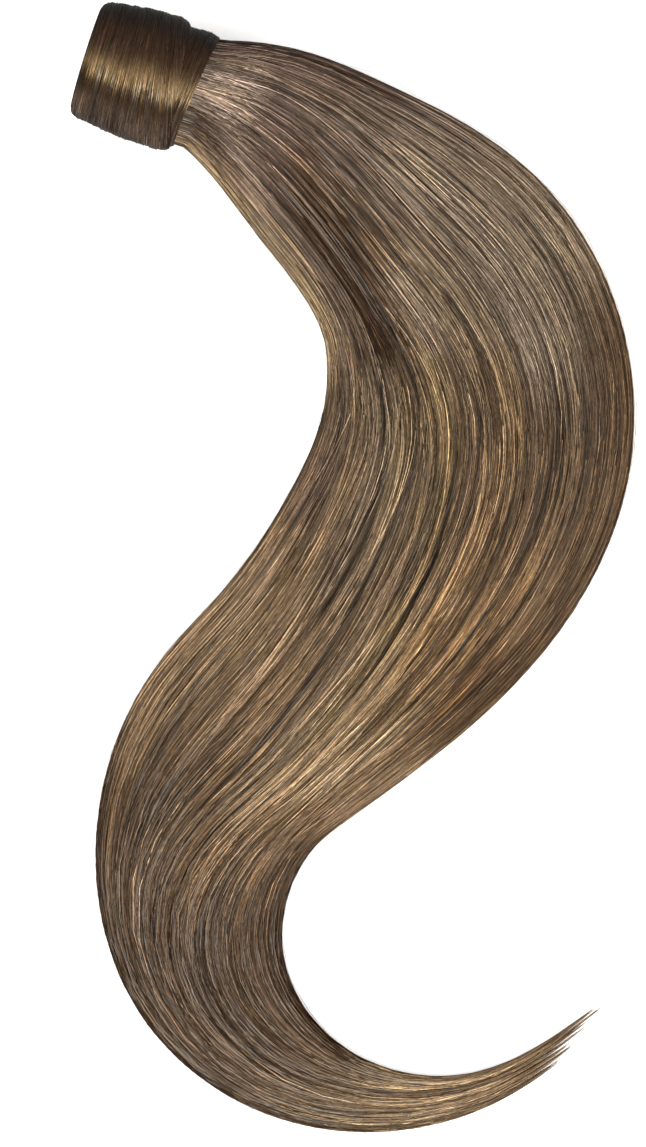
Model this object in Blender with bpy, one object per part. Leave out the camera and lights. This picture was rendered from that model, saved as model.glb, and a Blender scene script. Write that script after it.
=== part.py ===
"""Ponytail hairpiece: a long tail of straight hair laid in an S on a flat surface, with a wrapped base.

Metres, +Z up. The tail lies on Z = 0, and the origin is the middle of the footprint of the whole piece.
The tail's hair is sewn round a cloth band, whose hollow takes the wearer's own ponytail. A comb inside
the band grips it, and a lock of the same hair is wound round the base in two turns.
"""

import math

import bmesh
import bpy
import numpy as np
from mathutils import Matrix, Vector

# The laid-out tail, from where it leaves the wrap to its longest tip
ROUTE_WIDTH = 0.2038  # across the S, the box that the section table's x shares divide
ROUTE_LENGTH = 0.4068  # down the S, the box that its y shares divide
TAIL_WIDTH = 0.1136  # the fanned-out sheet at its widest
TAIL_HEIGHT = 0.013  # the sheet's thickness where it lies
LOCK_RISE = 0.0018  # how far a lock's crown stands out of the bundle
LOCK_HELD_IN = 0.0006  # how far the wrap holds the locks in at the root
LOCK_ROOT = 0.0024  # how far the locks run back under the collar
LOCK_LEAST_HEIGHT = 0.0008  # of a lock at its tip
PRESSED_FLAT = 0.0006  # how deep the soft hair is pressed flat where it rests

# The wound base
BASE_LENGTH = 0.0414  # mouth to where the tail leaves it
BARREL_WIDTH = 0.0484  # the outer turn at its fullest
UPRIGHT_SHARE = 0.88  # height of every oval in the base, as a share of its width
OUTER_TURN_LENGTH = 0.0352
OUTER_TURN_WALL = 0.0018
INNER_TURN_WALL = 0.0014
OUTER_TURN_SLANT = 0.0060  # how far the turn's edge runs along the base from one side to the other
COLLAR_SLANT = 0.0044  # the same for the inner turn's edge, the other way
COLLAR_ROUNDING = 0.0011  # how far the collar's edge turns in towards the tail
MOUTH_ROUNDING = 0.0006  # the same at the inner turn's mouth
GROOVE_DEPTH = 0.0005  # between the locks side by side in a turn
WOUND_LOCKS = 4
BASE_HEADING = -17.4  # of the base's axis from its mouth to the tail, in degrees from +X towards +Y
SETTLED_AT = 0.075  # share of the tail's length by which it has come down onto the surface

# The fixing inside the base
BAND_BORE_WIDTH = 0.0276
BAND_WALL = 0.0016
BAND_LENGTH = 0.0350
BAND_INSET = 0.0012  # the band's end behind the mouth of the wrap
COMB_WIDTH = 0.0176
COMB_SPINE_DEPTH = 0.0040
COMB_THICKNESS = 0.0014
COMB_INSET = 0.0030  # from the comb's back to the band's inner end
TOOTH_LENGTH = 0.0220
TOOTH_WIDTH = 0.0012
TOOTH_COUNT = 7
TOOTH_HEIGHT_SHARE = 0.80  # of the comb's thickness

PIECE_GAP = 0.0003  # between pieces that touch
OVERCUT = 0.0050  # how far a cutter runs past what it cuts

# How finely the soft forms are divided
TAIL_STATIONS = 52
BUNDLE_SIDES = 20
LOCK_SIDES = 10
BASE_SEGMENTS = 40
TOOTH_SIDES = 8

# One row for each section of the tail. along is the share of its length, x and y the shares of the
# route's box, width the share of TAIL_WIDTH and height the share of TAIL_HEIGHT. The first row's
# width and height come from the base, which the hair fills there.
TAIL_SECTIONS = [
    {"along": 0.00, "x": 0.226, "y": 0.919, "width": None, "height": None},
    {"along": 0.05, "x": 0.358, "y": 0.890, "width": 0.546, "height": 1.60},
    {"along": 0.10, "x": 0.472, "y": 0.850, "width": 0.673, "height": 1.15},
    {"along": 0.20, "x": 0.667, "y": 0.753, "width": 0.897, "height": 0.92},
    {"along": 0.30, "x": 0.722, "y": 0.617, "width": 0.996, "height": 0.88},
    {"along": 0.40, "x": 0.606, "y": 0.491, "width": 0.946, "height": 0.90},
    {"along": 0.50, "x": 0.418, "y": 0.390, "width": 0.821, "height": 0.96},
    {"along": 0.55, "x": 0.317, "y": 0.342, "width": 0.770, "height": 0.98},
    {"along": 0.60, "x": 0.246, "y": 0.283, "width": 0.691, "height": 1.00},
    {"along": 0.70, "x": 0.242, "y": 0.144, "width": 0.508, "height": 1.00},
    {"along": 0.80, "x": 0.434, "y": 0.044, "width": 0.284, "height": 0.90},
    {"along": 0.90, "x": 0.713, "y": 0.034, "width": 0.119, "height": 0.70},
    {"along": 1.00, "x": 0.950, "y": 0.106, "width": 0.074, "height": 0.46},
]

# The surface locks. side is the place across the sheet, from -1 at the right edge to 1 at the left,
# seen along the hair; drift is how far side changes from root to tip; width is the share of the
# sheet's width; end is the share of the tail's length where the lock comes to its point.
UPPER_LOCKS = [
    {"side": -1.00, "drift": 0.00, "width": 0.20, "end": 0.960},
    {"side": -0.66, "drift": 0.06, "width": 0.25, "end": 0.978},
    {"side": -0.36, "drift": 0.14, "width": 0.22, "end": 0.966},
    {"side": -0.06, "drift": 0.22, "width": 0.24, "end": 0.990},
    {"side": 0.28, "drift": 0.20, "width": 0.23, "end": 0.982},
    {"side": 0.62, "drift": 0.12, "width": 0.24, "end": 0.994},
    {"side": 1.00, "drift": 0.00, "width": 0.20, "end": 1.000},
]
LOWER_LOCKS = [
    {"side": -0.60, "drift": 0.00, "width": 0.34, "end": 0.20},
    {"side": 0.00, "drift": 0.00, "width": 0.36, "end": 0.22},
    {"side": 0.60, "drift": 0.00, "width": 0.34, "end": 0.20},
]
LOCK_POINT = 12  # the power of a lock's taper: the higher, the nearer to its end it thins
LOCK_TIP_SHARE = 0.25  # of its width that a lock keeps at its end
LOCK_ROOT_SHARE = 0.75  # of its width that a lock has under the collar
LOCK_HEIGHT_SHARE = 0.45  # of the sheet's thickness that a lock takes
LOCK_STEEPNESS = 0.50  # a lock's greatest height, as a share of its width

BUNDLE_WIDTH_SHARE = 0.96  # of the sheet's width that the bundle under the locks takes
BUNDLE_LEAST_SHARE = 0.30  # of the sheet's thickness that it keeps where the sheet is thin
BUNDLE_SQUARENESS = 0.15  # how far the oval bundle squares as it lies down
BUNDLE_THINS_FROM = 0.84  # share of the tail's length
BUNDLE_END = 0.960
BUNDLE_END_SHARE = 0.40  # of the width and thickness left there

# The outline of the outer turn, from its mouth: along as a share of its length, and half as a share
# of the barrel's half width.
BARREL_OUTLINE = [
    {"along": 0.00, "half": 0.80},
    {"along": 0.03, "half": 0.86},
    {"along": 0.09, "half": 0.905},
    {"along": 0.30, "half": 0.95},
    {"along": 0.58, "half": 1.00},
    {"along": 0.90, "half": 1.00},
    {"along": 0.98, "half": 0.975},
    {"along": 1.00, "half": 0.945},
]
LIP_INSIDE = 0.045  # where the wall's inner side begins to close in towards the mouth
ROUNDED_MOUTH = 0.09  # where the rounding at the mouth ends, and the one at the other edge begins
ROUNDED_EDGE = 0.90
BARREL_FULL = 0.58  # where it has its full width
BARREL_STATIONS = (ROUNDED_MOUTH, 0.30, BARREL_FULL, ROUNDED_EDGE)
GROOVE_SHARES = (0.0, 0.25, 0.5, 0.75)  # points over one wound lock, the first of them in a groove
TOOTH_OUTLINE = [
    {"along": 0.0, "full": 1.0},
    {"along": 0.8, "full": 0.8},
    {"along": 1.0, "full": 0.4},
]

MATERIALS = {
    "tail_hair": {"colour": (0.19, 0.125, 0.075), "roughness": 0.42, "metallic": 0.0},
    "wrap_hair": {"colour": (0.10, 0.065, 0.040), "roughness": 0.36, "metallic": 0.0},
    "band_cloth": {"colour": (0.030, 0.022, 0.018), "roughness": 0.90, "metallic": 0.0},
    "comb_plastic": {"colour": (0.060, 0.030, 0.016), "roughness": 0.30, "metallic": 0.0},
}

ROUTE_BOX = np.array([ROUTE_WIDTH, ROUTE_LENGTH])


def clear_scene():
    """An empty scene, with one collection for the pieces and one for the cutters and helper shapes."""
    for obj in list(bpy.data.objects):
        bpy.data.objects.remove(obj)
    made = {}
    for name in ("ponytail_hairpiece", "cutters", "lock_shapes"):
        made[name] = bpy.data.collections.new(name)
        bpy.context.scene.collection.children.link(made[name])
    return made


COLLECTIONS = clear_scene()


def make_materials():
    """One Principled material for each entry of MATERIALS."""
    made = {}
    for name, look in MATERIALS.items():
        material = bpy.data.materials.new(name)
        material.use_nodes = True
        shader = material.node_tree.nodes["Principled BSDF"]
        shader.inputs["Base Color"].default_value = (*look["colour"], 1.0)
        shader.inputs["Roughness"].default_value = look["roughness"]
        shader.inputs["Metallic"].default_value = look["metallic"]
        material.diffuse_color = (*look["colour"], 1.0)
        made[name] = material
    return made


def cubic_spline(knots, values, first_slope=None):
    """The smooth curve through values at knots, as a function. values may hold one or more columns."""
    knots = np.asarray(knots, float)
    values = np.asarray(values, float).reshape(len(knots), -1)
    step = np.diff(knots)
    rise = np.diff(values, axis=0) / step[:, None]
    system = np.zeros((len(knots), len(knots)))
    right = np.zeros_like(values)
    for i in range(1, len(knots) - 1):
        system[i, i - 1 : i + 2] = step[i - 1], 2 * (step[i - 1] + step[i]), step[i]
        right[i] = 6 * (rise[i] - rise[i - 1])
    system[0, 0] = system[-1, -1] = 1.0
    if first_slope is not None:
        system[0, :2] = 2 * step[0], step[0]
        right[0] = 6 * (rise[0] - first_slope)
    bend = np.linalg.solve(system, right)

    def at(where):
        where = np.atleast_1d(np.asarray(where, float))
        i = np.clip(np.searchsorted(knots, where, side="right") - 1, 0, len(step) - 1)
        h = step[i][:, None]
        after = (where - knots[i])[:, None]
        before = h - after
        ends = values[i] * before / h + values[i + 1] * after / h
        low = bend[i] * (before**3 / h - h * before) / 6
        high = bend[i + 1] * (after**3 / h - h * after) / 6
        return ends + low + high

    return at


def smooth_rows(rows, key, column, first=None):
    """A column of a table as a smooth function of another, where first fills in the first row."""
    knots = [row[key] for row in rows]
    values = [first if row[column] is None else row[column] for row in rows]
    at = cubic_spline(knots, values)
    return lambda where: float(at(where)[0, 0])


def column(rows, name):
    return [row[name] for row in rows]


def direction(heading):
    """The level unit vector at this heading in degrees, from +X towards +Y."""
    turn = math.radians(heading)
    return np.array([math.cos(turn), math.sin(turn), 0.0])


BASE_AXIS = direction(BASE_HEADING)
BASE_LEFT = direction(BASE_HEADING + 90)
UP = np.array([0.0, 0.0, 1.0])


def turn_outer_half(along):
    """The outer half width of the outer turn at this distance behind the mouth."""
    rows = column(BARREL_OUTLINE, "along"), column(BARREL_OUTLINE, "half")
    return float(np.interp(along / OUTER_TURN_LENGTH, *rows)) * BARREL_WIDTH / 2


def turn_inner_half(along):
    """The inner half width of the outer turn, which follows its outside between the rounded ends."""
    share = np.clip(along / OUTER_TURN_LENGTH, ROUNDED_MOUTH, ROUNDED_EDGE)
    return turn_outer_half(share * OUTER_TURN_LENGTH) - OUTER_TURN_WALL


def inner_turn_half(along):
    """The outer half width of the inner turn, which the outer turn covers."""
    return turn_inner_half(min(along, OUTER_TURN_LENGTH)) - PIECE_GAP


def head_half(along):
    """The outer half width of the hair sewn round the band, which the inner turn holds."""
    return inner_turn_half(along) - INNER_TURN_WALL - PIECE_GAP


class Tail:
    """The laid-out tail's middle line and sections, by the share of its length from the wrap."""

    def __init__(self):
        along = column(TAIL_SECTIONS, "along")
        points = np.array([[row["x"], row["y"]] for row in TAIL_SECTIONS]) * ROUTE_BOX
        self.length = float(np.linalg.norm(np.diff(points, axis=0), axis=1).sum())
        start = BASE_AXIS[:2] * self.length
        self.route = cubic_spline(along, points, first_slope=start)
        root = 2 * head_half(BASE_LENGTH)
        self.width_share = smooth_rows(TAIL_SECTIONS, "along", "width", root / TAIL_WIDTH)
        root_height = root * UPRIGHT_SHARE / TAIL_HEIGHT
        self.height_share = smooth_rows(TAIL_SECTIONS, "along", "height", root_height)
        self.flare_start = (COLLAR_SLANT / 2 + PIECE_GAP) / self.length

    def centre(self, along):
        """A point of the middle line on the surface below it. Before the wrap's edge it runs straight on."""
        inside = min(along, 0.0) * self.length
        x, y = self.route(max(along, 0.0))[0]
        return np.array([x, y, 0.0]) + BASE_AXIS * inside

    def left(self, along):
        """The level unit vector across the hair, to the left seen along it."""
        if along <= 0:
            return BASE_LEFT
        nudge = 0.002
        ahead = self.centre(min(along + nudge, 1.0)) - self.centre(along - nudge)
        ahead /= np.linalg.norm(ahead)
        return np.cross(UP, ahead)

    def half_width(self, along):
        return self.width_share(max(along - self.flare_start, 0.0)) * TAIL_WIDTH / 2

    def half_height(self, along):
        return self.height_share(max(along - self.flare_start, 0.0)) * TAIL_HEIGHT / 2

    def settled(self, along):
        """How far the bundle has come down onto the surface, from 0 in the base to 1."""
        share = min(max(along / SETTLED_AT, 0.0), 1.0)
        return share * share * (3 - 2 * share)

    def middle_height(self, along):
        """The height of the section's middle: level with the base's axis, then down to the surface."""
        lying = self.half_height(along) - PRESSED_FLAT
        return AXIS_HEIGHT * (1 - self.settled(along)) + lying * self.settled(along)


AXIS_HEIGHT = BARREL_WIDTH / 2 * UPRIGHT_SHARE - PRESSED_FLAT
TAIL = Tail()
EXIT = TAIL.centre(0.0) + UP * AXIS_HEIGHT
MOUTH = EXIT - BASE_AXIS * BASE_LENGTH
BAND_WIDTH = BAND_BORE_WIDTH + 2 * BAND_WALL


def add_mesh(name, points, faces, collection, material=None, smooth=True):
    """A mesh object from points and faces, with its normals turned outwards."""
    mesh = bpy.data.meshes.new(name)
    mesh.from_pydata([tuple(p) for p in points], [], faces)
    shape = bmesh.new()
    shape.from_mesh(mesh)
    bmesh.ops.recalc_face_normals(shape, faces=shape.faces)
    shape.to_mesh(mesh)
    shape.free()
    if smooth:
        mesh.shade_smooth()
        mesh.set_sharp_from_angle(angle=math.radians(40))
    obj = bpy.data.objects.new(name, mesh)
    COLLECTIONS[collection].objects.link(obj)
    if material:
        mesh.materials.append(MADE_MATERIALS[material])
    if collection != "ponytail_hairpiece":
        hide_helper(obj)
    return obj


def hide_helper(obj):
    """Keeps a cutter or a shape that goes into another piece out of the model itself."""
    obj.hide_render = True
    obj.display_type = "WIRE"


def box(name, size, middle, collection, turn=Matrix.Identity(4)):
    """A box of this size around a middle point, turned by a matrix."""
    bpy.ops.mesh.primitive_cube_add(size=1)
    obj = bpy.context.object
    obj.name = name
    obj.data.transform(Matrix.Translation(Vector(middle)) @ turn @ Matrix.Diagonal((*size, 1)))
    for old in list(obj.users_collection):
        old.objects.unlink(obj)
    COLLECTIONS[collection].objects.link(obj)
    if collection != "ponytail_hairpiece":
        hide_helper(obj)
    return obj


def loft(rings, looped=False):
    """Points and faces through rings of as many points each: capped at its ends, or joined in a loop."""
    count = len(rings[0])
    points = [p for ring in rings for p in ring]
    faces = []
    for k in range(len(rings) if looped else len(rings) - 1):
        here, there = k * count, (k + 1) % len(rings) * count
        for i in range(count):
            j = (i + 1) % count
            faces.append((here + i, here + j, there + j, there + i))
    if not looped:
        faces.append(tuple(range(count)))
        faces.append(tuple(len(points) - count + i for i in range(count)))
    return points, faces


def oval(centre, across, half_width, half_height, sides, fullness=1.0):
    """A ring of points in the plane of across and up. fullness under 1 squares the oval."""
    ring = []
    for i in range(sides):
        turn = 2 * math.pi * i / sides
        c, s = math.cos(turn), math.sin(turn)
        x = math.copysign(abs(c) ** fullness, c) * half_width
        z = math.copysign(abs(s) ** fullness, s) * half_height
        ring.append(centre + across * x + UP * z)
    return ring


def boolean(obj, operation, other):
    """Adds a Boolean with an object, or with all the objects of a collection."""
    modifier = obj.modifiers.new(operation.lower(), "BOOLEAN")
    modifier.operation = operation
    modifier.solver = "EXACT"
    if isinstance(other, bpy.types.Collection):
        modifier.operand_type = "COLLECTION"
        modifier.collection = other
    else:
        modifier.object = other
    return modifier


def base_oval(along, half_width, sides):
    """An oval of the base at this distance behind its mouth."""
    return oval(MOUTH + BASE_AXIS * along, BASE_LEFT, half_width, half_width * UPRIGHT_SHARE, sides)


def floor_cutter():
    """A slab whose top is the surface that the piece lies on."""
    depth = 0.02
    size = (2 * ROUTE_WIDTH, 2 * ROUTE_LENGTH, depth)
    middle = (ROUTE_WIDTH / 2, ROUTE_LENGTH / 2, -depth / 2)
    return box("floor_cutter", size, middle, "cutters")


def wound_turn(name, outline, inner, slant):
    """A wall wound round the base. outline and inner hold (distance behind the mouth, half width).

    slant moves the far edge along the base by half of it at the left side and back at the right,
    from where the barrel is at its fullest.
    """
    profile = outline + inner[::-1]
    start = BARREL_FULL * OUTER_TURN_LENGTH
    reach = max(along for along, _ in profile) - start
    rings = []
    for k in range(BASE_SEGMENTS):
        turn = 2 * math.pi * k / BASE_SEGMENTS
        side, height = math.cos(turn), math.sin(turn) * UPRIGHT_SHARE
        ring = []
        for along, half in profile:
            shift = slant / 2 * side * max(along - start, 0.0) / reach
            ring.append(MOUTH + BASE_AXIS * (along + shift) + (BASE_LEFT * side + UP * height) * half)
        rings.append(ring)
    points, faces = loft(rings, looped=True)
    obj = add_mesh(name, points, faces, "ponytail_hairpiece", "wrap_hair")
    boolean(obj, "DIFFERENCE", FLOOR)
    return obj


def along_turn(shares, half_at):
    """Points (distance behind the mouth, half width) at these shares of the outer turn's length."""
    return [(share * OUTER_TURN_LENGTH, half_at(share * OUTER_TURN_LENGTH)) for share in shares]


def grooved_outline():
    """The outer turn's outside between its rounded ends, with grooves between its wound locks."""
    shares = []
    for lock_index in range(WOUND_LOCKS):
        reach = (ROUNDED_EDGE - ROUNDED_MOUTH) / WOUND_LOCKS
        shares += [ROUNDED_MOUTH + (lock_index + share) * reach for share in GROOVE_SHARES]
    points = along_turn(shares + [ROUNDED_EDGE], turn_outer_half)
    for i in range(len(GROOVE_SHARES), len(points) - 1, len(GROOVE_SHARES)):
        along, half = points[i]
        points[i] = (along, half - GROOVE_DEPTH)
    return points


def outer_turn():
    """The wide turn of hair that shows, with its tail-side edge slanting."""
    shares = column(BARREL_OUTLINE, "along")
    outline = along_turn([s for s in shares if s < ROUNDED_MOUTH], turn_outer_half)
    outline += grooved_outline()
    outline += along_turn([s for s in shares if s > ROUNDED_EDGE], turn_outer_half)
    inner = along_turn((LIP_INSIDE, *BARREL_STATIONS[1:-1], 1.0), turn_inner_half)
    return wound_turn("wrap_outer_turn", outline, inner, -OUTER_TURN_SLANT)


def inner_turn():
    """The turn beneath, which shows as a collar past the outer turn's edge and closes on the tail."""
    start = (BAND_INSET, inner_turn_half(BAND_INSET))
    full = inner_turn_half(OUTER_TURN_LENGTH)
    middle = (OUTER_TURN_LENGTH + BASE_LENGTH) / 2
    outside = along_turn((*BARREL_STATIONS, 1.0), inner_turn_half)
    outline = [(start[0] + MOUTH_ROUNDING, start[1] - MOUTH_ROUNDING), *outside]
    outline.append((middle, full - COLLAR_ROUNDING / 4))
    outline.append((BASE_LENGTH - COLLAR_ROUNDING, full - COLLAR_ROUNDING))
    inner = [(along, half - INNER_TURN_WALL) for along, half in (start, *outside, (BASE_LENGTH, full))]
    return wound_turn("wrap_inner_turn", outline, inner, COLLAR_SLANT)


def bundle():
    """The body of the tail under its surface locks, from the wrap's edge to the tips."""
    rings = []
    for along in np.linspace(0.0, BUNDLE_END, TAIL_STATIONS):
        ending = max(along - BUNDLE_THINS_FROM, 0.0) / (BUNDLE_END - BUNDLE_THINS_FROM)
        thin = 1.0 - (1.0 - BUNDLE_END_SHARE) * ending**2
        half_width = TAIL.half_width(along) * BUNDLE_WIDTH_SHARE * thin
        least = BUNDLE_LEAST_SHARE * TAIL.half_height(along)
        half_height = max(TAIL.half_height(along) - LOCK_RISE / 2, least) * thin
        sunk = LOCK_RISE / 2 * TAIL.settled(along)
        centre = TAIL.centre(along) + UP * (TAIL.middle_height(along) - sunk)
        fullness = 1.0 - BUNDLE_SQUARENESS * TAIL.settled(along)
        rings.append(oval(centre, TAIL.left(along), half_width, half_height, BUNDLE_SIDES, fullness))
    return loft(rings)


def head():
    """The hair round the band, which carries the bundle and its locks."""
    reach = [BAND_INSET, *(share * OUTER_TURN_LENGTH for share in BARREL_STATIONS), BASE_LENGTH + LOCK_ROOT]
    rings = [base_oval(along, head_half(min(along, OUTER_TURN_LENGTH)), BASE_SEGMENTS) for along in reach]
    return loft(rings)


def lock(row, face):
    """A tapering lock laid over the bundle. face is 1 on the bundle's upper side and -1 below it."""
    rings = []
    for along in np.linspace(-LOCK_ROOT / TAIL.length, row["end"], TAIL_STATIONS):
        share = max(along, 0.0) / row["end"]
        taper = max(1.0 - share**LOCK_POINT, LOCK_TIP_SHARE)
        if along < 0:
            taper = LOCK_ROOT_SHARE
        full_half = TAIL.half_width(along) * row["width"]
        half_width = full_half * taper
        half_height = min(TAIL.half_height(along) * LOCK_HEIGHT_SHARE, half_width * LOCK_STEEPNESS) * taper
        half_height = max(half_height, LOCK_LEAST_HEIGHT / 2)
        held_in = LOCK_HELD_IN * (1 - TAIL.settled(along))
        side = row["side"] + row["drift"] * share
        reach = TAIL.half_width(along) - full_half - held_in
        arch = math.sqrt(max(1.0 - side * side, 0.0))
        lift = (TAIL.half_height(along) - half_height - held_in) * arch
        centre = TAIL.centre(along) + TAIL.left(along) * (side * reach)
        centre = centre + UP * (TAIL.middle_height(along) + face * lift)
        rings.append(oval(centre, TAIL.left(along), half_width, half_height, LOCK_SIDES))
    return loft(rings)


def hair_tail():
    """The bundle, its locks and its head fused into one piece, hollowed for the band and flat below."""
    points, faces = bundle()
    obj = add_mesh("hair_tail", points, faces, "ponytail_hairpiece", "tail_hair")
    add_mesh("head_shape", *head(), "lock_shapes")
    for i, row in enumerate(UPPER_LOCKS):
        add_mesh(f"upper_lock_shape_{i + 1}", *lock(row, 1), "lock_shapes")
    for i, row in enumerate(LOWER_LOCKS):
        add_mesh(f"lower_lock_shape_{i + 1}", *lock(row, -1), "lock_shapes")
    boolean(obj, "UNION", COLLECTIONS["lock_shapes"])
    bore_half = BAND_WIDTH / 2 + PIECE_GAP
    bore_end = BAND_INSET + BAND_LENGTH + PIECE_GAP
    rings = [base_oval(along, bore_half, BASE_SEGMENTS) for along in (-OVERCUT, bore_end)]
    boolean(obj, "DIFFERENCE", add_mesh("bore_cutter", *loft(rings), "cutters"))
    boolean(obj, "DIFFERENCE", FLOOR)
    return obj


def fixing_band():
    """The cloth band rolled into a tube, open at the mouth and at the tail."""
    ends = (BAND_INSET, BAND_INSET + BAND_LENGTH)
    rings = [base_oval(along, BAND_WIDTH / 2, BASE_SEGMENTS) for along in ends]
    obj = add_mesh("fixing_band", *loft(rings), "ponytail_hairpiece", "band_cloth")
    ends = (BAND_INSET - OVERCUT, BAND_INSET + BAND_LENGTH + OVERCUT)
    rings = [base_oval(along, BAND_BORE_WIDTH / 2, BASE_SEGMENTS) for along in ends]
    boolean(obj, "DIFFERENCE", add_mesh("band_cutter", *loft(rings), "cutters"))
    return obj


def comb():
    """The comb on the bottom of the bore: a bar across it, with teeth pointing to the mouth."""
    bore_half = BAND_BORE_WIDTH / 2 - PIECE_GAP
    corner = COMB_WIDTH / 2 / bore_half
    seat = bore_half * UPRIGHT_SHARE * math.sqrt(1 - corner * corner)
    height = COMB_THICKNESS / 2 - seat
    spine_at = BAND_INSET + BAND_LENGTH - COMB_INSET - COMB_SPINE_DEPTH / 2
    spine_middle = MOUTH + BASE_AXIS * spine_at + UP * height
    turn = Matrix((BASE_AXIS, BASE_LEFT, UP)).transposed().to_4x4()
    size = (COMB_SPINE_DEPTH, COMB_WIDTH, COMB_THICKNESS)
    obj = box("comb", size, spine_middle, "ponytail_hairpiece", turn)
    obj.data.materials.append(MADE_MATERIALS["comb_plastic"])
    pitch = (COMB_WIDTH - TOOTH_WIDTH) / (TOOTH_COUNT - 1)
    for i in range(TOOTH_COUNT):
        side = (i - (TOOTH_COUNT - 1) / 2) * pitch
        rings = []
        for row in TOOTH_OUTLINE:
            point = spine_middle + BASE_LEFT * side - BASE_AXIS * (TOOTH_LENGTH * row["along"])
            half_width = TOOTH_WIDTH / 2 * row["full"]
            half_height = COMB_THICKNESS * TOOTH_HEIGHT_SHARE / 2 * row["full"]
            rings.append(oval(point, BASE_LEFT, half_width, half_height, TOOTH_SIDES))
        boolean(obj, "UNION", add_mesh(f"tooth_shape_{i + 1}", *loft(rings), "cutters"))
    return obj


def centre_on_origin(pieces):
    """Moves everything so that the middle of the pieces' footprint is the origin."""
    bpy.context.view_layer.update()
    graph = bpy.context.evaluated_depsgraph_get()
    corners = []
    for obj in pieces:
        evaluated = obj.evaluated_get(graph)
        corners += [evaluated.matrix_world @ v.co for v in evaluated.data.vertices]
    low = [min(c[i] for c in corners) for i in range(2)]
    high = [max(c[i] for c in corners) for i in range(2)]
    shift = Vector((-(low[0] + high[0]) / 2, -(low[1] + high[1]) / 2, 0.0))
    for obj in bpy.data.objects:
        obj.location += shift


MADE_MATERIALS = make_materials()
FLOOR = floor_cutter()
PIECES = [hair_tail(), inner_turn(), outer_turn(), fixing_band(), comb()]
centre_on_origin(PIECES)
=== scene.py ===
"""Looks of a ponytail hairpiece: strands laid over its tail and wound round its base, on a pale floor.

Metres, +Z up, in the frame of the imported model. The hair is made of flat ribbons, each a strand that
follows the flow of the tail or the turns of the wrap, over a darker body of the same form. along is a
share of the tail's length from the wrap, and in the base a distance behind its mouth. side runs from
-1 at the right to 1 at the left. Angles about a section are in radians. A pair that is named RISE or
FALL holds where a change begins and over how much it goes on.
"""

import math

import bpy
import numpy as np
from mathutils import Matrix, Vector


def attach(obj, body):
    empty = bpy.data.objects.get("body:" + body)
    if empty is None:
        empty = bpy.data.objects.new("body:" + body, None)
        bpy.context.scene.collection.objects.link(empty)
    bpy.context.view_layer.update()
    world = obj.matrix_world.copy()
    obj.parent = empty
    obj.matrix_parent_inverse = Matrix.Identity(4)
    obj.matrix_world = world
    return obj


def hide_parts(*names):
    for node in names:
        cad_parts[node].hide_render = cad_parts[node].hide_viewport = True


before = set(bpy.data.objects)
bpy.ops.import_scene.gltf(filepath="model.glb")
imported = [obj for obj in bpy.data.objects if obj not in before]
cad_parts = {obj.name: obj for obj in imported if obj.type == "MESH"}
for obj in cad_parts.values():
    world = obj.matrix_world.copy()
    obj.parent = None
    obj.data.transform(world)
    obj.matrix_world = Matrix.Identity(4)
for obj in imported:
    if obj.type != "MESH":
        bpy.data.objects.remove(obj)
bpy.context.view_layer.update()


def table(columns, *rows):
    """Rows as dictionaries, with the names of their columns given once."""
    return [dict(zip(columns.split(), row)) for row in rows]


# The frame of the model, repeated from its source
EXIT = (-0.056262, 0.170698)  # where the tail leaves the wrap, seen from above
ROUTE_WIDTH = 0.2038
ROUTE_LENGTH = 0.4068
TAIL_WIDTH = 0.1136
TAIL_HEIGHT = 0.013
LOCK_HELD_IN = 0.0006
PRESSED_FLAT = 0.0006
BASE_LENGTH = 0.0414
BARREL_WIDTH = 0.0484
UPRIGHT_SHARE = 0.88
OUTER_TURN_LENGTH = 0.0352
OUTER_TURN_WALL = 0.0018
INNER_TURN_WALL = 0.0014
OUTER_TURN_SLANT = -0.006
COLLAR_SLANT = 0.0044
COLLAR_ROUNDING = 0.0011
MOUTH_ROUNDING = 0.0006
BASE_HEADING = -17.4
SETTLED_AT = 0.075
BAND_BORE_WIDTH = 0.0276
BAND_WALL = 0.0016
BAND_LENGTH = 0.035
BAND_INSET = 0.0012
PIECE_GAP = 0.0003
BUNDLE_SQUARENESS = 0.15
LIP_INSIDE = 0.045
ROUNDED_MOUTH = 0.09
ROUNDED_EDGE = 0.9
BARREL_FULL = 0.58

TAIL_SECTIONS = table(
    "along x y width height",
    (0.0, 0.226, 0.919, None, None),
    (0.05, 0.358, 0.89, 0.546, 1.6),
    (0.1, 0.472, 0.85, 0.673, 1.15),
    (0.2, 0.667, 0.753, 0.897, 0.92),
    (0.3, 0.722, 0.617, 0.996, 0.88),
    (0.4, 0.606, 0.491, 0.946, 0.9),
    (0.5, 0.418, 0.39, 0.821, 0.96),
    (0.55, 0.317, 0.342, 0.77, 0.98),
    (0.6, 0.246, 0.283, 0.691, 1.0),
    (0.7, 0.242, 0.144, 0.508, 1.0),
    (0.8, 0.434, 0.044, 0.284, 0.9),
    (0.9, 0.713, 0.034, 0.119, 0.7),
    (1.0, 0.95, 0.106, 0.074, 0.46),
)
BARREL_OUTLINE = table(
    "along half",
    (0.0, 0.8),
    (0.03, 0.86),
    (0.09, 0.905),
    (0.3, 0.95),
    (0.58, 1.0),
    (0.9, 1.0),
    (0.98, 0.975),
    (1.0, 0.945),
)

# How the strands cross the sheet of hair: one row for each place along the tail, with how far a
# strand has moved across it there, to the left if above 0
STRAND_DRIFT = table(
    "along drift",
    (0.0, 0.0),
    (0.08, -0.08),
    (0.16, -0.25),
    (0.25, -0.12),
    (0.4, 0.17),
    (0.5, 0.38),
    (0.56, 0.44),
    (0.61, 0.22),
    (0.66, -0.12),
    (0.72, -0.32),
    (0.78, -0.3),
    (0.86, -0.05),
    (1.0, 0.08),
)

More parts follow.
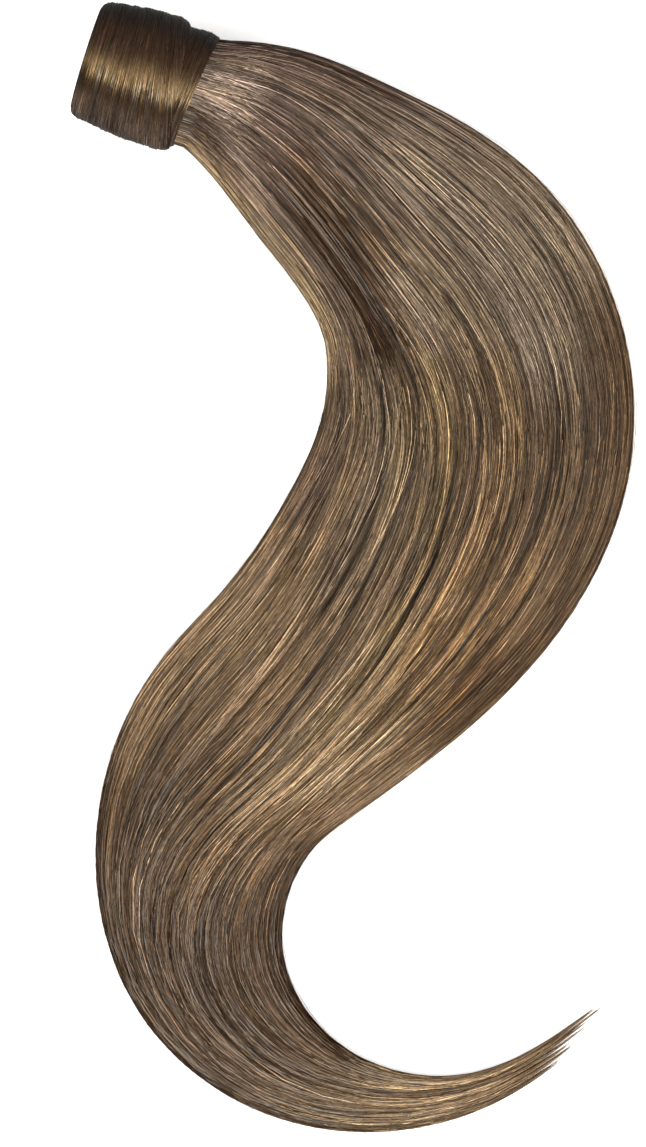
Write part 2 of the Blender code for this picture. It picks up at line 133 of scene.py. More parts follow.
# Where the hair comes to its points: the side of each wisp, and where along the tail it ends
TIP_WISPS = table(
    "side end",
    (-0.95, 0.958),
    (-0.62, 0.972),
    (-0.3, 0.966),
    (0.0, 0.988),
    (0.34, 0.984),
    (0.66, 1.002),
    (0.92, 0.996),
)

# The tones of the hair, as a screen shows them from 0 to 255
TONES = {
    "shadow": (66, 48, 36),
    "umber": (82, 63, 48),
    "mauve": (92, 75, 65),
    "walnut": (106, 86, 68),
    "ash": (152, 132, 111),
    "olive": (124, 103, 72),
    "caramel": (144, 112, 78),
    "honey": (164, 136, 98),
    "sand": (174, 147, 112),
    # painted sheen on the slope below the root
    "pearl": (170, 145, 126),
    # painted highlight where the hair leaves the collar
    "cream": (184, 159, 139),
}

# The tone of the plain hair
PLAIN_TONES = table(
    "along tone",
    (0.0, (112, 93, 83)),
    (0.08, (104, 85, 74)),
    (0.14, (108, 89, 76)),
    (0.22, (114, 95, 77)),
    (0.32, (108, 88, 67)),
    (0.42, (114, 92, 70)),
    (0.5, (136, 112, 86)),
    (0.57, (134, 108, 82)),
    (0.63, (110, 88, 68)),
    (0.68, (78, 62, 50)),
    (0.75, (85, 68, 55)),
    (0.81, (108, 89, 70)),
    (0.87, (138, 115, 90)),
    (0.93, (127, 104, 80)),
    (1.0, (134, 110, 84)),
)

# The streaks in the colour. The cream and pearl rows near the root are painted highlight and sheen, and
# the rows in shadow are painted shade. path holds places (along, side) by the strands' own sides,
# half_width is across them, and strength is how far the tone covers the plain one.
STREAKS = table(
    "tone path half_width strength",
    # painted highlight where the hair leaves the collar
    ("cream", [(0.0, 0.12), (0.032, 0.12)], 0.52, 0.95),
    ("umber", [(0.0, -0.55), (0.03, -0.58)], 0.18, 0.95),
    ("sand", [(0.0, -0.95), (0.14, -0.94), (0.25, -1.07)], 0.11, 0.95),
    # painted sheen on the slope below the root
    ("pearl", [(0.03, -0.38), (0.075, -0.76)], 0.15, 0.85),
    ("shadow", [(0.08, -0.22), (0.15, -0.31), (0.24, -0.51)], 0.25, 0.92),
    ("umber", [(0.07, -0.06), (0.165, -0.02)], 0.17, 0.92),
    ("ash", [(0.115, 0.6), (0.16, 0.56), (0.27, 0.48)], 0.25, 0.95),
    ("ash", [(0.05, 0.5), (0.1, 0.52)], 0.2, 0.35),
    ("umber", [(0.3, 0.7), (0.84, 0.68)], 0.14, 0.32),
    ("ash", [(0.165, 0.88), (0.225, 0.88)], 0.15, 0.9),
    ("honey", [(0.15, 0.16), (0.24, 0.18), (0.3, 0.24)], 0.08, 0.35),
    ("ash", [(0.17, -0.06), (0.24, -0.1)], 0.1, 0.65),
    ("olive", [(0.24, -0.22), (0.38, -0.24)], 0.1, 0.7),
    ("umber", [(0.26, 0.06), (0.33, -0.04), (0.4, -0.1)], 0.055, 0.8),
    ("umber", [(0.28, 0.5), (0.35, 0.43)], 0.09, 0.75),
    ("umber", [(0.34, 0.37), (0.46, 0.28), (0.505, 0.3)], 0.06, 0.8),
    ("umber", [(0.3, 0.74), (0.345, 0.68)], 0.11, 0.75),
    ("ash", [(0.245, -0.6), (0.34, -0.55), (0.45, -0.53)], 0.17, 0.32),
    ("honey", [(0.42, -0.11), (0.54, -0.12)], 0.09, 0.8),
    ("caramel", [(0.25, 0.26), (0.34, 0.17), (0.45, 0.1)], 0.08, 0.85),
    ("honey", [(0.43, 0.1), (0.53, 0.04), (0.6, -0.08)], 0.09, 0.42),
    ("caramel", [(0.345, 0.54), (0.43, 0.45), (0.48, 0.43)], 0.09, 0.85),
    ("sand", [(0.46, 0.49), (0.5, 0.49), (0.55, 0.33)], 0.1, 0.95),
    ("shadow", [(0.4, 0.76), (0.44, 0.7), (0.48, 0.67)], 0.11, 0.9),
    ("umber", [(0.24, 0.95), (0.47, 0.95)], 0.15, 0.8),
    ("walnut", [(0.48, 0.92), (0.57, 0.9)], 0.14, 0.5),
    ("sand", [(0.5, -0.09), (0.59, -0.13)], 0.1, 0.95),
    ("sand", [(0.535, 0.32), (0.585, 0.26)], 0.07, 0.7),
    ("caramel", [(0.49, -0.46), (0.6, -0.42)], 0.12, 0.45),
    ("mauve", [(0.29, -0.92), (0.42, -0.92)], 0.14, 0.55),
    ("umber", [(0.595, -0.88), (0.77, -0.8)], 0.26, 0.8),
    ("umber", [(0.575, 0.94), (0.66, 0.92)], 0.2, 0.75),
    ("shadow", [(0.66, 0.96), (0.815, 0.96)], 0.15, 0.9),
    ("umber", [(0.66, -0.4), (0.75, -0.42)], 0.16, 0.6),
    ("caramel", [(0.6, 0.02), (0.65, -0.08)], 0.1, 0.3),
    ("sand", [(0.84, 0.88), (0.95, 0.7)], 0.14, 0.95),
    ("umber", [(0.7, 0.68), (0.815, 0.58)], 0.17, 0.65),
    ("walnut", [(0.83, 0.28), (0.88, 0.32), (0.95, 0.42)], 0.14, 0.95),
    ("honey", [(0.83, 0.02), (0.89, 0.06)], 0.1, 0.45),
    ("honey", [(0.83, -0.72), (0.9, -0.6)], 0.16, 0.65),
)
STREAK_FADE = 0.022  # over how much of the tail's length a streak begins and ends
STREAK_FRAY = 0.05  # how far a strand may be from its own side in the colour

# The long fine lines along the locks, with their paths as above: shade is below 0 for painted shade in a
# gap between locks, where the strands also sink into a groove, and above 0 for a painted highlight on a
# lock
FINE_LINES = table(
    "shade path",
    (-1.0, [(0.39, -0.42), (0.44, -0.405), (0.49, -0.39), (0.53, -0.36), (0.6, -0.345)]),
    (-1.0, [(0.29, -0.12), (0.34, -0.125), (0.38, -0.095), (0.43, -0.07), (0.53, -0.045)]),
    (-0.7, [(0.33, -0.18), (0.38, -0.17)]),
    (-0.8, [(0.34, -0.25), (0.4, -0.215), (0.44, -0.2)]),
    (-0.9, [(0.3, 0.5), (0.35, 0.485), (0.39, 0.45), (0.43, 0.415), (0.47, 0.42)]),
    (-0.6, [(0.33, 0.03), (0.5, 0.035), (0.62, 0.03)]),
    (-1.0, [(0.57, -0.11), (0.64, -0.11), (0.67, -0.13), (0.71, -0.15)]),
    (-0.7, [(0.6, -0.035), (0.64, -0.04)]),
    (-1.0, [(0.61, 0.27), (0.7, 0.27)]),
    (-0.7, [(0.55, -0.18), (0.61, -0.19)]),
    (-0.7, [(0.56, -0.26), (0.63, -0.28)]),
    (-0.8, [(0.24, -0.63), (0.27, -0.6), (0.33, -0.59)]),
    (-0.8, [(0.33, -0.54), (0.4, -0.52), (0.46, -0.54)]),
    (-0.3, [(0.22, -0.88), (0.29, -0.875), (0.37, -0.86), (0.43, -0.88)]),
    (-0.2, [(0.04, -0.91), (0.1, -0.9), (0.16, -0.9)]),
    (-0.9, [(0.15, -0.345), (0.21, -0.35), (0.28, -0.345)]),
    (-0.8, [(0.04, 0.66), (0.1, 0.65)]),
    (-0.8, [(0.46, 0.76), (0.5, 0.745), (0.54, 0.73)]),
    (-0.7, [(0.49, 0.62), (0.54, 0.62)]),
    (-0.7, [(0.41, 0.17), (0.47, 0.165)]),
    (-0.7, [(0.5, 0.21), (0.55, 0.21)]),
    (-0.7, [(0.12, 0.55), (0.2, 0.555)]),
    (-0.7, [(0.13, 0.43), (0.19, 0.43)]),
    (-0.7, [(0.52, 0.41), (0.59, 0.41)]),
    (-0.7, [(0.28, 0.71), (0.34, 0.7)]),
    (0.8, [(0.33, 0.2), (0.38, 0.15), (0.46, 0.135), (0.5, 0.17), (0.53, 0.17)]),
    (0.8, [(0.37, 0.49), (0.42, 0.455), (0.49, 0.46)]),
    (0.6, [(0.56, -0.07), (0.65, -0.07)]),
    (0.6, [(0.57, -0.15), (0.65, -0.16)]),
    (0.8, [(0.5, -0.345), (0.54, -0.325), (0.6, -0.32)]),
    (0.7, [(0.29, -0.17), (0.36, -0.145), (0.41, -0.12)]),
    (0.7, [(0.15, 0.12), (0.2, 0.13)]),
    (0.7, [(0.13, 0.57), (0.2, 0.57)]),
    (0.6, [(0.58, 0.31), (0.64, 0.3), (0.72, 0.355)]),
    (0.7, [(0.06, -0.25), (0.16, -0.25), (0.21, -0.23)]),
    (0.7, [(0.1, -0.76), (0.16, -0.74)]),
)
LINE_HALF_WIDTH = 0.014
LINE_FADE = 0.03
# how strongly the lines paint shade and highlight
DARK_LINE = 1.6
LIGHT_LINE = 0.8

# The tone of the wound hair across the base, from its right side at -1 to its left side at 1; the light
# rows near 0 are a painted highlight band along its crown
WRAP_TONES = table(
    "across tone",
    (-1.0, (70, 58, 51)),
    (-0.8, (88, 74, 65)),
    (-0.58, (80, 67, 58)),
    (-0.4, (52, 40, 30)),
    (-0.27, (78, 61, 42)),
    # painted highlight: the light band along the wrap's crown
    (-0.15, (150, 124, 88)),
    (0.0, (124, 101, 74)),
    (0.13, (88, 71, 55)),
    (0.3, (70, 55, 47)),
    (0.55, (66, 51, 44)),
    (0.8, (46, 36, 29)),
    (1.0, (34, 29, 22)),
)
WRAP_UNDER = (48, 37, 29)
UNDER_STARTS = 0.15  # how far above the base's middle the tone of its underside begins
# The painted highlight band on the wrap is made ragged by this
HIGHLIGHT_BAND_RAGGED = 0.09  # how far the light band on the wrap shifts from strand to strand
WRAP_CONTRASTS = (0.95, 0.35, 0.22)  # of single strands, of fine patches and of locks
WRAP_GAIN = 0.84

# How lightness and hue vary from lock to lock and from strand to strand
SHADE_WEIGHTS = (0.3, 0.4, 0.64)  # of the broad, the middle and the fine patches
STRAND_CONTRAST = 1.85
STRAND_GAIN = 0.74
# painted shade in the narrow gaps between locks
PARTING_SHADE = 0.6
HUE_WEIGHTS = (0.5, 0.4)  # of the drift between locks and of each strand's own tint
HUE_TURN = (0.05, 0.03, -0.16)  # what a turn to gold adds to red, green and blue
PALE_TURN = (0.06, 0.0, 0.0)  # what the lightest strand loses of them
PALING = 0.08  # how much of its colour the lightest strand loses
HAIR_GAIN = 0.98  # the hair's own colour as a share of its tone in the light
GLOSS_SHARE = 0.015  # what the gloss adds to each lit tone, as linear light
DARKEST = 0.004
LIGHTEST = 0.8
# painted shade on the tail's underside
UNDERSIDE_SHADE = 0.62
# painted shadow of the collar on the hair at the root
COLLAR_SHADE = 0.45  # how much darker the hair is where it comes out from under the collar
COLLAR_REACH = 0.006
# Painted light and shade by depth: the uppermost strands lighter, the deeper ones darker as shade among
# strands
CROWN_LIGHT = 1.12  # of the uppermost strands
DEEP_SHADE = 1.25  # what the deepest strands lose of it
DEEP_LIGHT = 0.28  # the least that a strand keeps
TIP_LIGHT = 0.6  # how much less of it is lost at the tip
TIP_LIGHT_RISE = (0.86, 0.08)

# The strands of the tail
TAIL_PIECES = 4
STRANDS_IN_PIECE = 1960
UNDER_STRANDS = 760
STATIONS = 45
ROOT_DENSITY = 1.25  # the power that brings the stations closer together near the root
STRAND_WIDTH = (0.00013, 0.00029)
STRAND_TILT = 38.0  # degrees either way about the strand
STRAND_TWIST = 0.1
TWIST_WAVES = 25
STRAND_TONES = (-2.0, 1.7)  # where the spread of light and dark strands is cut off
LAYER_DEPTH = 0.0013  # how deep the strands of the surface lie in it
DEPTH_POWER = 0.6
STRAND_ROOT = 0.0024  # how far they run back under the collar
DRAWN_TO = 0.97  # the last place along the tail that strands are drawn for
EVEN_SHARE = 0.75  # of the strands, which are spread evenly by their sides and not by their angles
SIDE_LIMIT = 0.999
ANGLE_LIMIT = 0.02
TIP_SPREAD = 0.07  # how far before its wisp's end a strand may end
TIP_POWER = 1.5
SHORT_SHARE = 0.5  # of the strands, which begin or end part of the way along
SHORT_REACH = (0.08, 0.4)
SHORT_BEGINS = (0.03, 0.8)
SHORT_ENDS = (0.2, 0.96)
END_DIP = 0.0022  # how far a short strand's end goes down among the others
BEGIN_SPAN = 0.12
END_RISE = (0.86, 0.14)
POINT = 0.08  # a strand thins over this last share of its length, to this share of its width
TIP_THINNING = 0.35
THIN_RISE = (0.88, 0.1)
TIP_GATHER = 0.72  # how far a strand joins its wisp at the tip
GATHER_RISE = (0.86, 0.14)
WANDER = 0.011  # radians about the section that a strand strays
SWAYS = (9, 30)
SWAY_SHARE = 0.45  # the parts of it that a strand has alone and has with its clump
CLUMP_SHARE = 0.5
STRAY_RISE = 0.05
LEAN = 0.3  # how far strands cross the flow, in radians about the section for the tail's whole length
LEAN_FALL = (0.7, 0.2)
CROSSING_SHARE = 0.07  # of the strands, which are short, cross the flow more and lie uppermost
CROSSING_LEAN = 0.6
CROSSING_LENGTH = 0.3
CROSSING_FROM = 0.12
CROSSING_DEPTH = 0.1
WEAVES = table(
    "height waves shift",
    (0.0003, (14, 46), 1.7),
    (0.00009, (60, 110), 2.3),
)
EDGE_STOP = 0.004  # how near a strand comes to the edge of the sheet, in radians
EDGE_CALM = 0.85  # how much less deep the hair's relief is at the edges
EDGE_RISE = (0.8, 0.2)

# The surface that they lie on
RELIEF = table(
    "height across along",
    (0.0011, 7, 1.6),
    (0.0006, 19, 3.0),
    (0.00025, 60, 6.0),
)
TIP_FLATTENING = 0.6
FLATTEN_RISE = (0.8, 0.2)
CLUMPS = 190
CLUMP_PULL = (0.1, 0.5)
CLUMP_PLACE = (0.05, 0.95)  # where in its even share of the section a clump may lie
ROOT_PULL = 0.4  # the part of its pull that a clump has at the collar
PULL_SPAN = 0.15
PARTING_WIDTH = 0.05  # of the random fields whose zero lines the gaps between locks follow
PARTING_DEPTH = 0.0007
PARTING_RISE = (0.02, 0.08)
FLOOR_CLEARANCE = 0.00012  # the least height of any hair over the floor

# The loose fine strands
FLYAWAYS = 110
FLYAWAY_WIDTH = (0.00008, 0.00014)
FLYAWAY_POINT = 0.2
FLYAWAY_BEGINS = (0.02, 0.75)
FLYAWAY_LENGTH = (0.05, 0.18)
FLYAWAY_END = 0.985
FLYAWAY_TILT = 0.7
FLYAWAY_DEPTH = 0.0003
FLYAWAY_SWAY = 0.03
FLYAWAY_WAVES = (8, 22)
FLYAWAY_BOW = 0.002  # how far one stands off the surface at its middle, and at its end
FLYAWAY_LIFT = 0.001
EDGE_SHARE = 0.55  # of them, which lie along the edges of the sheet
EDGE_ANGLE = 0.05

# The bodies under the strands
BODY_SIDES = 96
BODY_RINGS = 170
BODY_END = 0.945
BODY_DEPTH = 0.9  # of the strands' layer
BODY_LIMIT = 0.55  # of the sheet's half thickness
BODY_EDGE = 0.01  # radians that its points stay away from the edge of the sheet
BODY_NARROWING = 0.75
NARROW_RISE = (0.84, 0.1)
BODY_CLOSES = (0.5, 0.05)
# painted shade: the bodies are darkened so that the gaps between strands look deep
BODY_SHADE = 0.42
BODY_STRANDS = 700  # that seem to lie side by side over half of its section
HEAD_PLACES = (0.0028, 0.0058, 0.012, 0.022, 0.034)  # of its rings inside the base
HEAD_INSIDE = 0.0003
# painted shade of the wall under the wound strands
WALL_SHADE = 0.5
WALL_STRANDS = 20000  # that seem to lie side by side in each metre
MIDDLE_FEEL = 0.5

# The strands wound round the base
WOUND_EDGES = (0.0004, 0.0002)  # what is left free before the first strand and after the last
OUTER_TURN, INNER_TURN = table(
    "strands nearest reach slant fanned",
    (1400, WOUND_EDGES[0], OUTER_TURN_LENGTH, OUTER_TURN_SLANT, 1.0),
    (420, 0.03, BASE_LENGTH, COLLAR_SLANT, 0.0),
)
WOUND_STATIONS = 44
WOUND_WIDTH = (0.00011, 0.00023)
WOUND_TILT = 24
WOUND_TWIST = 0.08
WOUND_SHIFT = 0.05
WOUND_SWAY = 0.00022
SWAY_TURNS = (1, 4)
WOUND_PITCH = 0.0009
PITCH_PHASE = 0.6
FAN = 0.0035
FAN_RISE = (0.35, 0.65)
FAN_BIAS = 0.6
TUCK = 0.003  # how far a strand at the far edge goes in under it
TUCK_SPAN = 0.0012
SLANT_POWER = 1.4
WOUND_DEPTH = 0.0006
WOUND_DEPTH_POWER = 1.5
# painted shade on the deeper wound strands
WOUND_DEPTH_SHADE = 0.35
WOUND_GROOVE = 0.00045
RIPPLE = 0.00018
RIPPLE_TURNS = (3, 9)
RIPPLE_SHIFT = 1.9

# The folded roots in the mouth
ROOT_STRANDS = 420
ROOT_STATIONS = 9
ROOT_WIDTH = (0.0004, 0.0007)
ROOT_TILT = 25
ROOT_GAPS = (0.0005, 0.0004)  # left free towards the band and towards the inner turn
ROOT_BEHIND = 0.0022
ROOT_BULGE = 0.0012
ROOT_UNEVEN = 0.0005
ROOT_TURN = 0.05
ROOT_LEAN = 0.6
# painted shade of the roots inside the base's mouth
ROOT_SHADE = 0.8

# The cloth band
BAND_SIDES = 128
HEM_STEPS = 8
HEM_WIDTH = 0.003
BAND_OUTSIDE = (12, 0.0001)  # the rings between the hems, and how far in they lie
BAND_INSIDE = (40, 0.0018, 0.00005)  # the bore's rings, how far from its ends and how far out they lie
SEAM_PLACE = 0.0028
SEAM_WIDTH = 0.0004
SEAM_HEIGHT = 0.00035

# The camera and the light
PIXEL = 0.00036  # metres of the hair's plane in one pixel of the picture
PICTURE = (646, 1147)
PICTURE_ORIGIN = (353.0, 568.0)  # the pixel that shows the model's origin
LENS = 240.0
SENSOR = 36.0
HAIR_PLANE = 0.01
FLOOR_SIZE = 8.0
WORLD_LIGHT = 0.3
FILL = ((0, 0, 0), (1.2, 1.2), 23.0, (1.0, 0.99, 0.97), True)
LIGHTS = table(
    "name place aim size power colour floor_only",
    ("overhead_box", (-0.08, -0.42, 1.35), (0, 0, 0), (0.34, 0.34), 17.0, (1.0, 0.97, 0.93), False),
    ("side_box", (0.95, -0.25, 0.75), (0, 0.05, 0), (0.5, 0.9), 7.0, (1.0, 0.96, 0.92), False),
    ("fill_back", (-0.35, 1.25, 0.95), *FILL),
    ("fill_left", (-1.2, 0.3, 0.95), *FILL),
    ("fill_front", (0.75, -1.05, 0.95), *FILL),
)

SEEDS = dict(fields=20, clumps=30, tail=100, under=110, flyaways=120, outer=130, inner=140, roots=150)
BLOCK_COLUMNS = 512  # strips of one row of the bake map
STRIP_MARGINS = (0.25, 0.01)  # of a strip's place, left free at each side and at each end
NUDGE = 0.002  # of the tail's length, between places that a slope is taken from
WOUND_NUDGE = 0.0004
TINY = 1e-12
TURN = 2 * math.pi
UP = np.array([0.0, 0.0, 1.0])


def column(rows, name):
    return [row[name] for row in rows]


def cubic_spline(knots, values, first_slope=None):
    """The smooth curve through values at knots, as a function that gives one column per value."""
    knots = np.asarray(knots, float)
    values = np.asarray(values, float).reshape(len(knots), -1)
    step = np.diff(knots)
    rise = np.diff(values, axis=0) / step[:, None]
    system = np.zeros((len(knots), len(knots)))
    right = np.zeros_like(values)
    for i in range(1, len(knots) - 1):
        system[i, i - 1 : i + 2] = step[i - 1], 2 * (step[i - 1] + step[i]), step[i]
        right[i] = 6 * (rise[i] - rise[i - 1])
    system[0, 0] = system[-1, -1] = 1.0
    if first_slope is not None:
        system[0, :2] = 2 * step[0], step[0]
        right[0] = 6 * (rise[0] - first_slope)
    bend = np.linalg.solve(system, right)

    def at(where):
        where = np.asarray(where, float)
        i = np.clip(np.searchsorted(knots, where, side="right") - 1, 0, len(step) - 1)
        h = step[i][..., None]
        after = (where - knots[i])[..., None]
        before = h - after
        ends = values[i] * before / h + values[i + 1] * after / h
        low = bend[i] * (before**3 / h - h * before) / 6
        high = bend[i + 1] * (after**3 / h - h * after) / 6
        return ends + low + high

    return at


def smoothstep(share):
    share = np.clip(share, 0.0, 1.0)
    return share * share * (3 - 2 * share)


def ease(value, start, span):
    """0 up to the start, then a smooth rise to 1 over the span."""
    return smoothstep((value - start) / span)


def unit(vectors):
    length = np.linalg.norm(vectors, axis=-1, keepdims=True)
    return vectors / np.maximum(length, TINY)


def direction(heading):
    """The level unit vector at this heading in degrees, from +X towards +Y."""
    turn = math.radians(heading)
    return np.array([math.cos(turn), math.sin(turn), 0.0])


def value_noise(rng, across_count, along_count):
    """A smooth random field from -1 to 1, as a function of two shares from 0 to 1.

    The counts are its cells, and the grid has a line more before them and two after.
    """
    field = rng.uniform(-1.0, 1.0, (int(across_count) + 4, int(along_count) + 4))

    def at(across, along):
        x = np.clip(across, 0.0, 1.0) * across_count + 1
        y = np.clip(along, 0.0, 1.0) * along_count + 1
        i = x.astype(int)
        j = y.astype(int)
        u = smoothstep(x - i)
        v = smoothstep(y - j)
        near = field[i, j] * (1 - v) + field[i, j + 1] * v
        far = field[i + 1, j] * (1 - v) + field[i + 1, j + 1] * v
        return near * (1 - u) + far * u

    return at


def per_strand(rng, count):
    """A function that draws one number for each strand, evenly between two limits."""
    return lambda low=0.0, high=1.0: rng.uniform(low, high, (count, 1))


def screen_to_light(tone):
    """A tone from 0 to 255 as a screen shows it, as linear light, by the standard curve of screens."""
    share = np.asarray(tone, float) / 255
    return np.where(share <= 0.04045, share / 12.92, ((share + 0.055) / 1.055) ** 2.4)


def tone_between(rows, stops, where):
    """The tone at these places, as linear light, between the rows of a table."""
    lit = screen_to_light(column(rows, "tone"))
    return np.stack([np.interp(where, column(rows, stops), lit[:, i]) for i in range(3)], axis=-1)


BASE_AXIS = direction(BASE_HEADING)
BASE_LEFT = direction(BASE_HEADING + 90)
AXIS_HEIGHT = BARREL_WIDTH / 2 * UPRIGHT_SHARE - PRESSED_FLAT
MOUTH = np.array([*EXIT, AXIS_HEIGHT]) - BASE_AXIS * BASE_LENGTH


def base_ring(along, half, turns):
    """Points round the base, with the half width that it has there."""
    side = np.cos(turns)[..., None]
    height = np.sin(turns)[..., None] * UPRIGHT_SHARE
    axis = MOUTH + BASE_AXIS * np.asarray(along)[..., None]
    return axis + (BASE_LEFT * side + UP * height) * np.asarray(half)[..., None]


def turn_outer_half(along):
    """The outer half width of the outer turn."""
    rows = column(BARREL_OUTLINE, "along"), column(BARREL_OUTLINE, "half")
    return np.interp(along / OUTER_TURN_LENGTH, *rows) * BARREL_WIDTH / 2


def turn_inner_half(along):
    share = np.clip(along / OUTER_TURN_LENGTH, ROUNDED_MOUTH, ROUNDED_EDGE)
    return turn_outer_half(share * OUTER_TURN_LENGTH) - OUTER_TURN_WALL


def inner_turn_half(along):
    return turn_inner_half(np.minimum(along, OUTER_TURN_LENGTH)) - PIECE_GAP


def head_half(along):
    """The outer half width of the hair sewn round the band."""
    return inner_turn_half(along) - INNER_TURN_WALL - PIECE_GAP


def collar_half(along):
    """The inner turn's outside where it shows as the collar, rounded in towards the tail."""
    span = 3 * COLLAR_ROUNDING
    fullness = 0.98  # below 1, so that the edge never turns straight in
    ending = np.clip((along - (BASE_LENGTH - span)) / span, 0, 1)
    return inner_turn_half(along) - COLLAR_ROUNDING * (1 - np.sqrt(1 - ending**2 * fullness))


class Tail:
    """The laid-out tail's middle line and sections, by the share of its length from the wrap."""

    def __init__(self):
        along = column(TAIL_SECTIONS, "along")
        box = np.array([ROUTE_WIDTH, ROUTE_LENGTH])
        points = np.array([[row["x"], row["y"]] for row in TAIL_SECTIONS]) * box
        self.length = float(np.linalg.norm(np.diff(points, axis=0), axis=1).sum())
        points += np.array(EXIT) - points[0]
        self.route = cubic_spline(along, points, first_slope=BASE_AXIS[:2] * self.length)
        root = 2 * float(head_half(BASE_LENGTH))
        widths = [root / TAIL_WIDTH, *column(TAIL_SECTIONS, "width")[1:]]
        heights = [root * UPRIGHT_SHARE / TAIL_HEIGHT, *column(TAIL_SECTIONS, "height")[1:]]
        self.sizes = cubic_spline(along, np.c_[widths, heights])
        self.flare_start = (COLLAR_SLANT / 2 + PIECE_GAP) / self.length
        self.drift = cubic_spline(column(STRAND_DRIFT, "along"), column(STRAND_DRIFT, "drift"))

    def centre(self, along):
        """Points of the middle line on the floor below it. Before the wrap's edge it runs straight on."""
        points = self.route(np.maximum(along, 0.0))
        points = np.concatenate([points, np.zeros_like(points[..., :1])], axis=-1)
        return points + BASE_AXIS * (np.minimum(along, 0.0) * self.length)[..., None]

    def left(self, along):
        ahead = unit(self.centre(along + NUDGE) - self.centre(along - NUDGE))
        return np.cross(UP, ahead)

    def halves(self, along):
        """Half the sheet's width and half its thickness."""
        sizes = self.sizes(np.maximum(along - self.flare_start, 0.0))
        return sizes[..., 0] * TAIL_WIDTH / 2, sizes[..., 1] * TAIL_HEIGHT / 2

    def skin(self, along, across, face, inset):
        """Points of the tail's surface and the directions out of it there.

        across runs from -1 to 1, face is 1 above and -1 below, and inset is the depth in the hair.
        """
        half_width, half_height = self.halves(along)
        settled = smoothstep(along / SETTLED_AT)
        power = 2.0 / (1.0 - BUNDLE_SQUARENESS * settled)
        arch = (1.0 - np.abs(across) ** power) ** (1.0 / power)
        lying = half_height - PRESSED_FLAT
        middle = AXIS_HEIGHT * (1 - settled) + lying * settled
        out_across = np.sign(across) * np.abs(across) ** (power - 1) / half_width
        out_up = face * arch ** (power - 1) / half_height
        left = self.left(along)
        out = unit(left * out_across[..., None] + UP * out_up[..., None])
        points = self.centre(along) + left * (across * half_width)[..., None]
        points[..., 2] = middle + face * arch * half_height
        return points - out * inset[..., None], out


TAIL = Tail()


def place_across(own, along):
    """Where about the section a strand lies, from its own angle there if nothing drifts."""
    return np.arctan2(1.0, 1.0 / np.tan(own) + TAIL.drift(along)[..., 0])


def own_angle(place, along):
    """The own angle of the strand that lies at this place about the section."""
    return np.arctan2(1.0, 1.0 / np.tan(place) - TAIL.drift(along)[..., 0])


def new_mesh(name, points, quads, material):
    """A smooth mesh object from arrays of points and of four-sided faces."""
    mesh = bpy.data.meshes.new(name)
    mesh.vertices.add(points.size // 3)
    mesh.vertices.foreach_set("co", np.asarray(points, np.float32).ravel())
    mesh.loops.add(quads.size)
    mesh.loops.foreach_set("vertex_index", quads.astype(np.int32).ravel())
    mesh.polygons.add(len(quads))
    mesh.polygons.foreach_set("loop_start", np.arange(0, quads.size, 4, dtype=np.int32))
    mesh.update(calc_edges=True)
    mesh.validate()
    mesh.shade_smooth()
    mesh.materials.append(material)
    obj = bpy.data.objects.new(name, mesh)
    bpy.context.scene.collection.objects.link(obj)
    return obj


def ring_quads(rings, count, closed):
    """The faces between each ring of points and the next, and from the last to the first if closed."""
    ring = np.arange(count)
    following = (ring + 1) % count
    start = np.arange(rings)[:, None] * count
    after = np.roll(start, -1, axis=0)
    quads = np.stack([start + ring, start + following, after + following, after + ring], axis=-1)
    return (quads if closed else quads[:-1]).reshape(-1, 4)


def paint(obj, tones, feel, flow):
    """Stores for each point what the materials read: a tone, a number from 0 to 1 and a place in the flow.

    The place is which strand it is and how far along it, in metres.
    """
    count = len(obj.data.vertices)
    places = np.zeros((count, 3), np.float32)
    places[:, :2] = flow
    obj.data.attributes.new("flow", "FLOAT_VECTOR", "POINT").data.foreach_set("vector", places.ravel())
    colours = np.ones((count, 4), np.float32)
    colours[:, :3] = tones
    obj.data.attributes.new("tone", "FLOAT_COLOR", "POINT").data.foreach_set("color", colours.ravel())
    numbers = np.empty(count, np.float32)
    numbers[:] = feel
    obj.data.attributes.new("feel", "FLOAT", "POINT").data.foreach_set("value", numbers)


def strip_map(obj, strands, stations):
    """Gives each strand its own upright strip of the bake map, in rows of strips."""
    beside, below = STRIP_MARGINS
    rows = math.ceil(strands / BLOCK_COLUMNS)
    strand = np.arange(strands)
    left = (strand % BLOCK_COLUMNS + beside) / BLOCK_COLUMNS
    right = left + (1 - 2 * beside) / BLOCK_COLUMNS
    low = (strand // BLOCK_COLUMNS + below) / rows
    v = low[:, None] + np.linspace(0.0, (1 - 2 * below) / rows, stations)
    u = np.stack([left, right], axis=-1)[:, None, :].repeat(stations, axis=1)
    corners = np.stack([u, v[..., None].repeat(2, axis=-1)], axis=-1).reshape(-1, 2)
    loops = np.empty(len(obj.data.loops), np.int32)
    obj.data.loops.foreach_get("vertex_index", loops)
    layer = obj.data.uv_layers.new(name="OFBake")
    layer.data.foreach_set("uv", corners[loops].astype(np.float32).ravel())


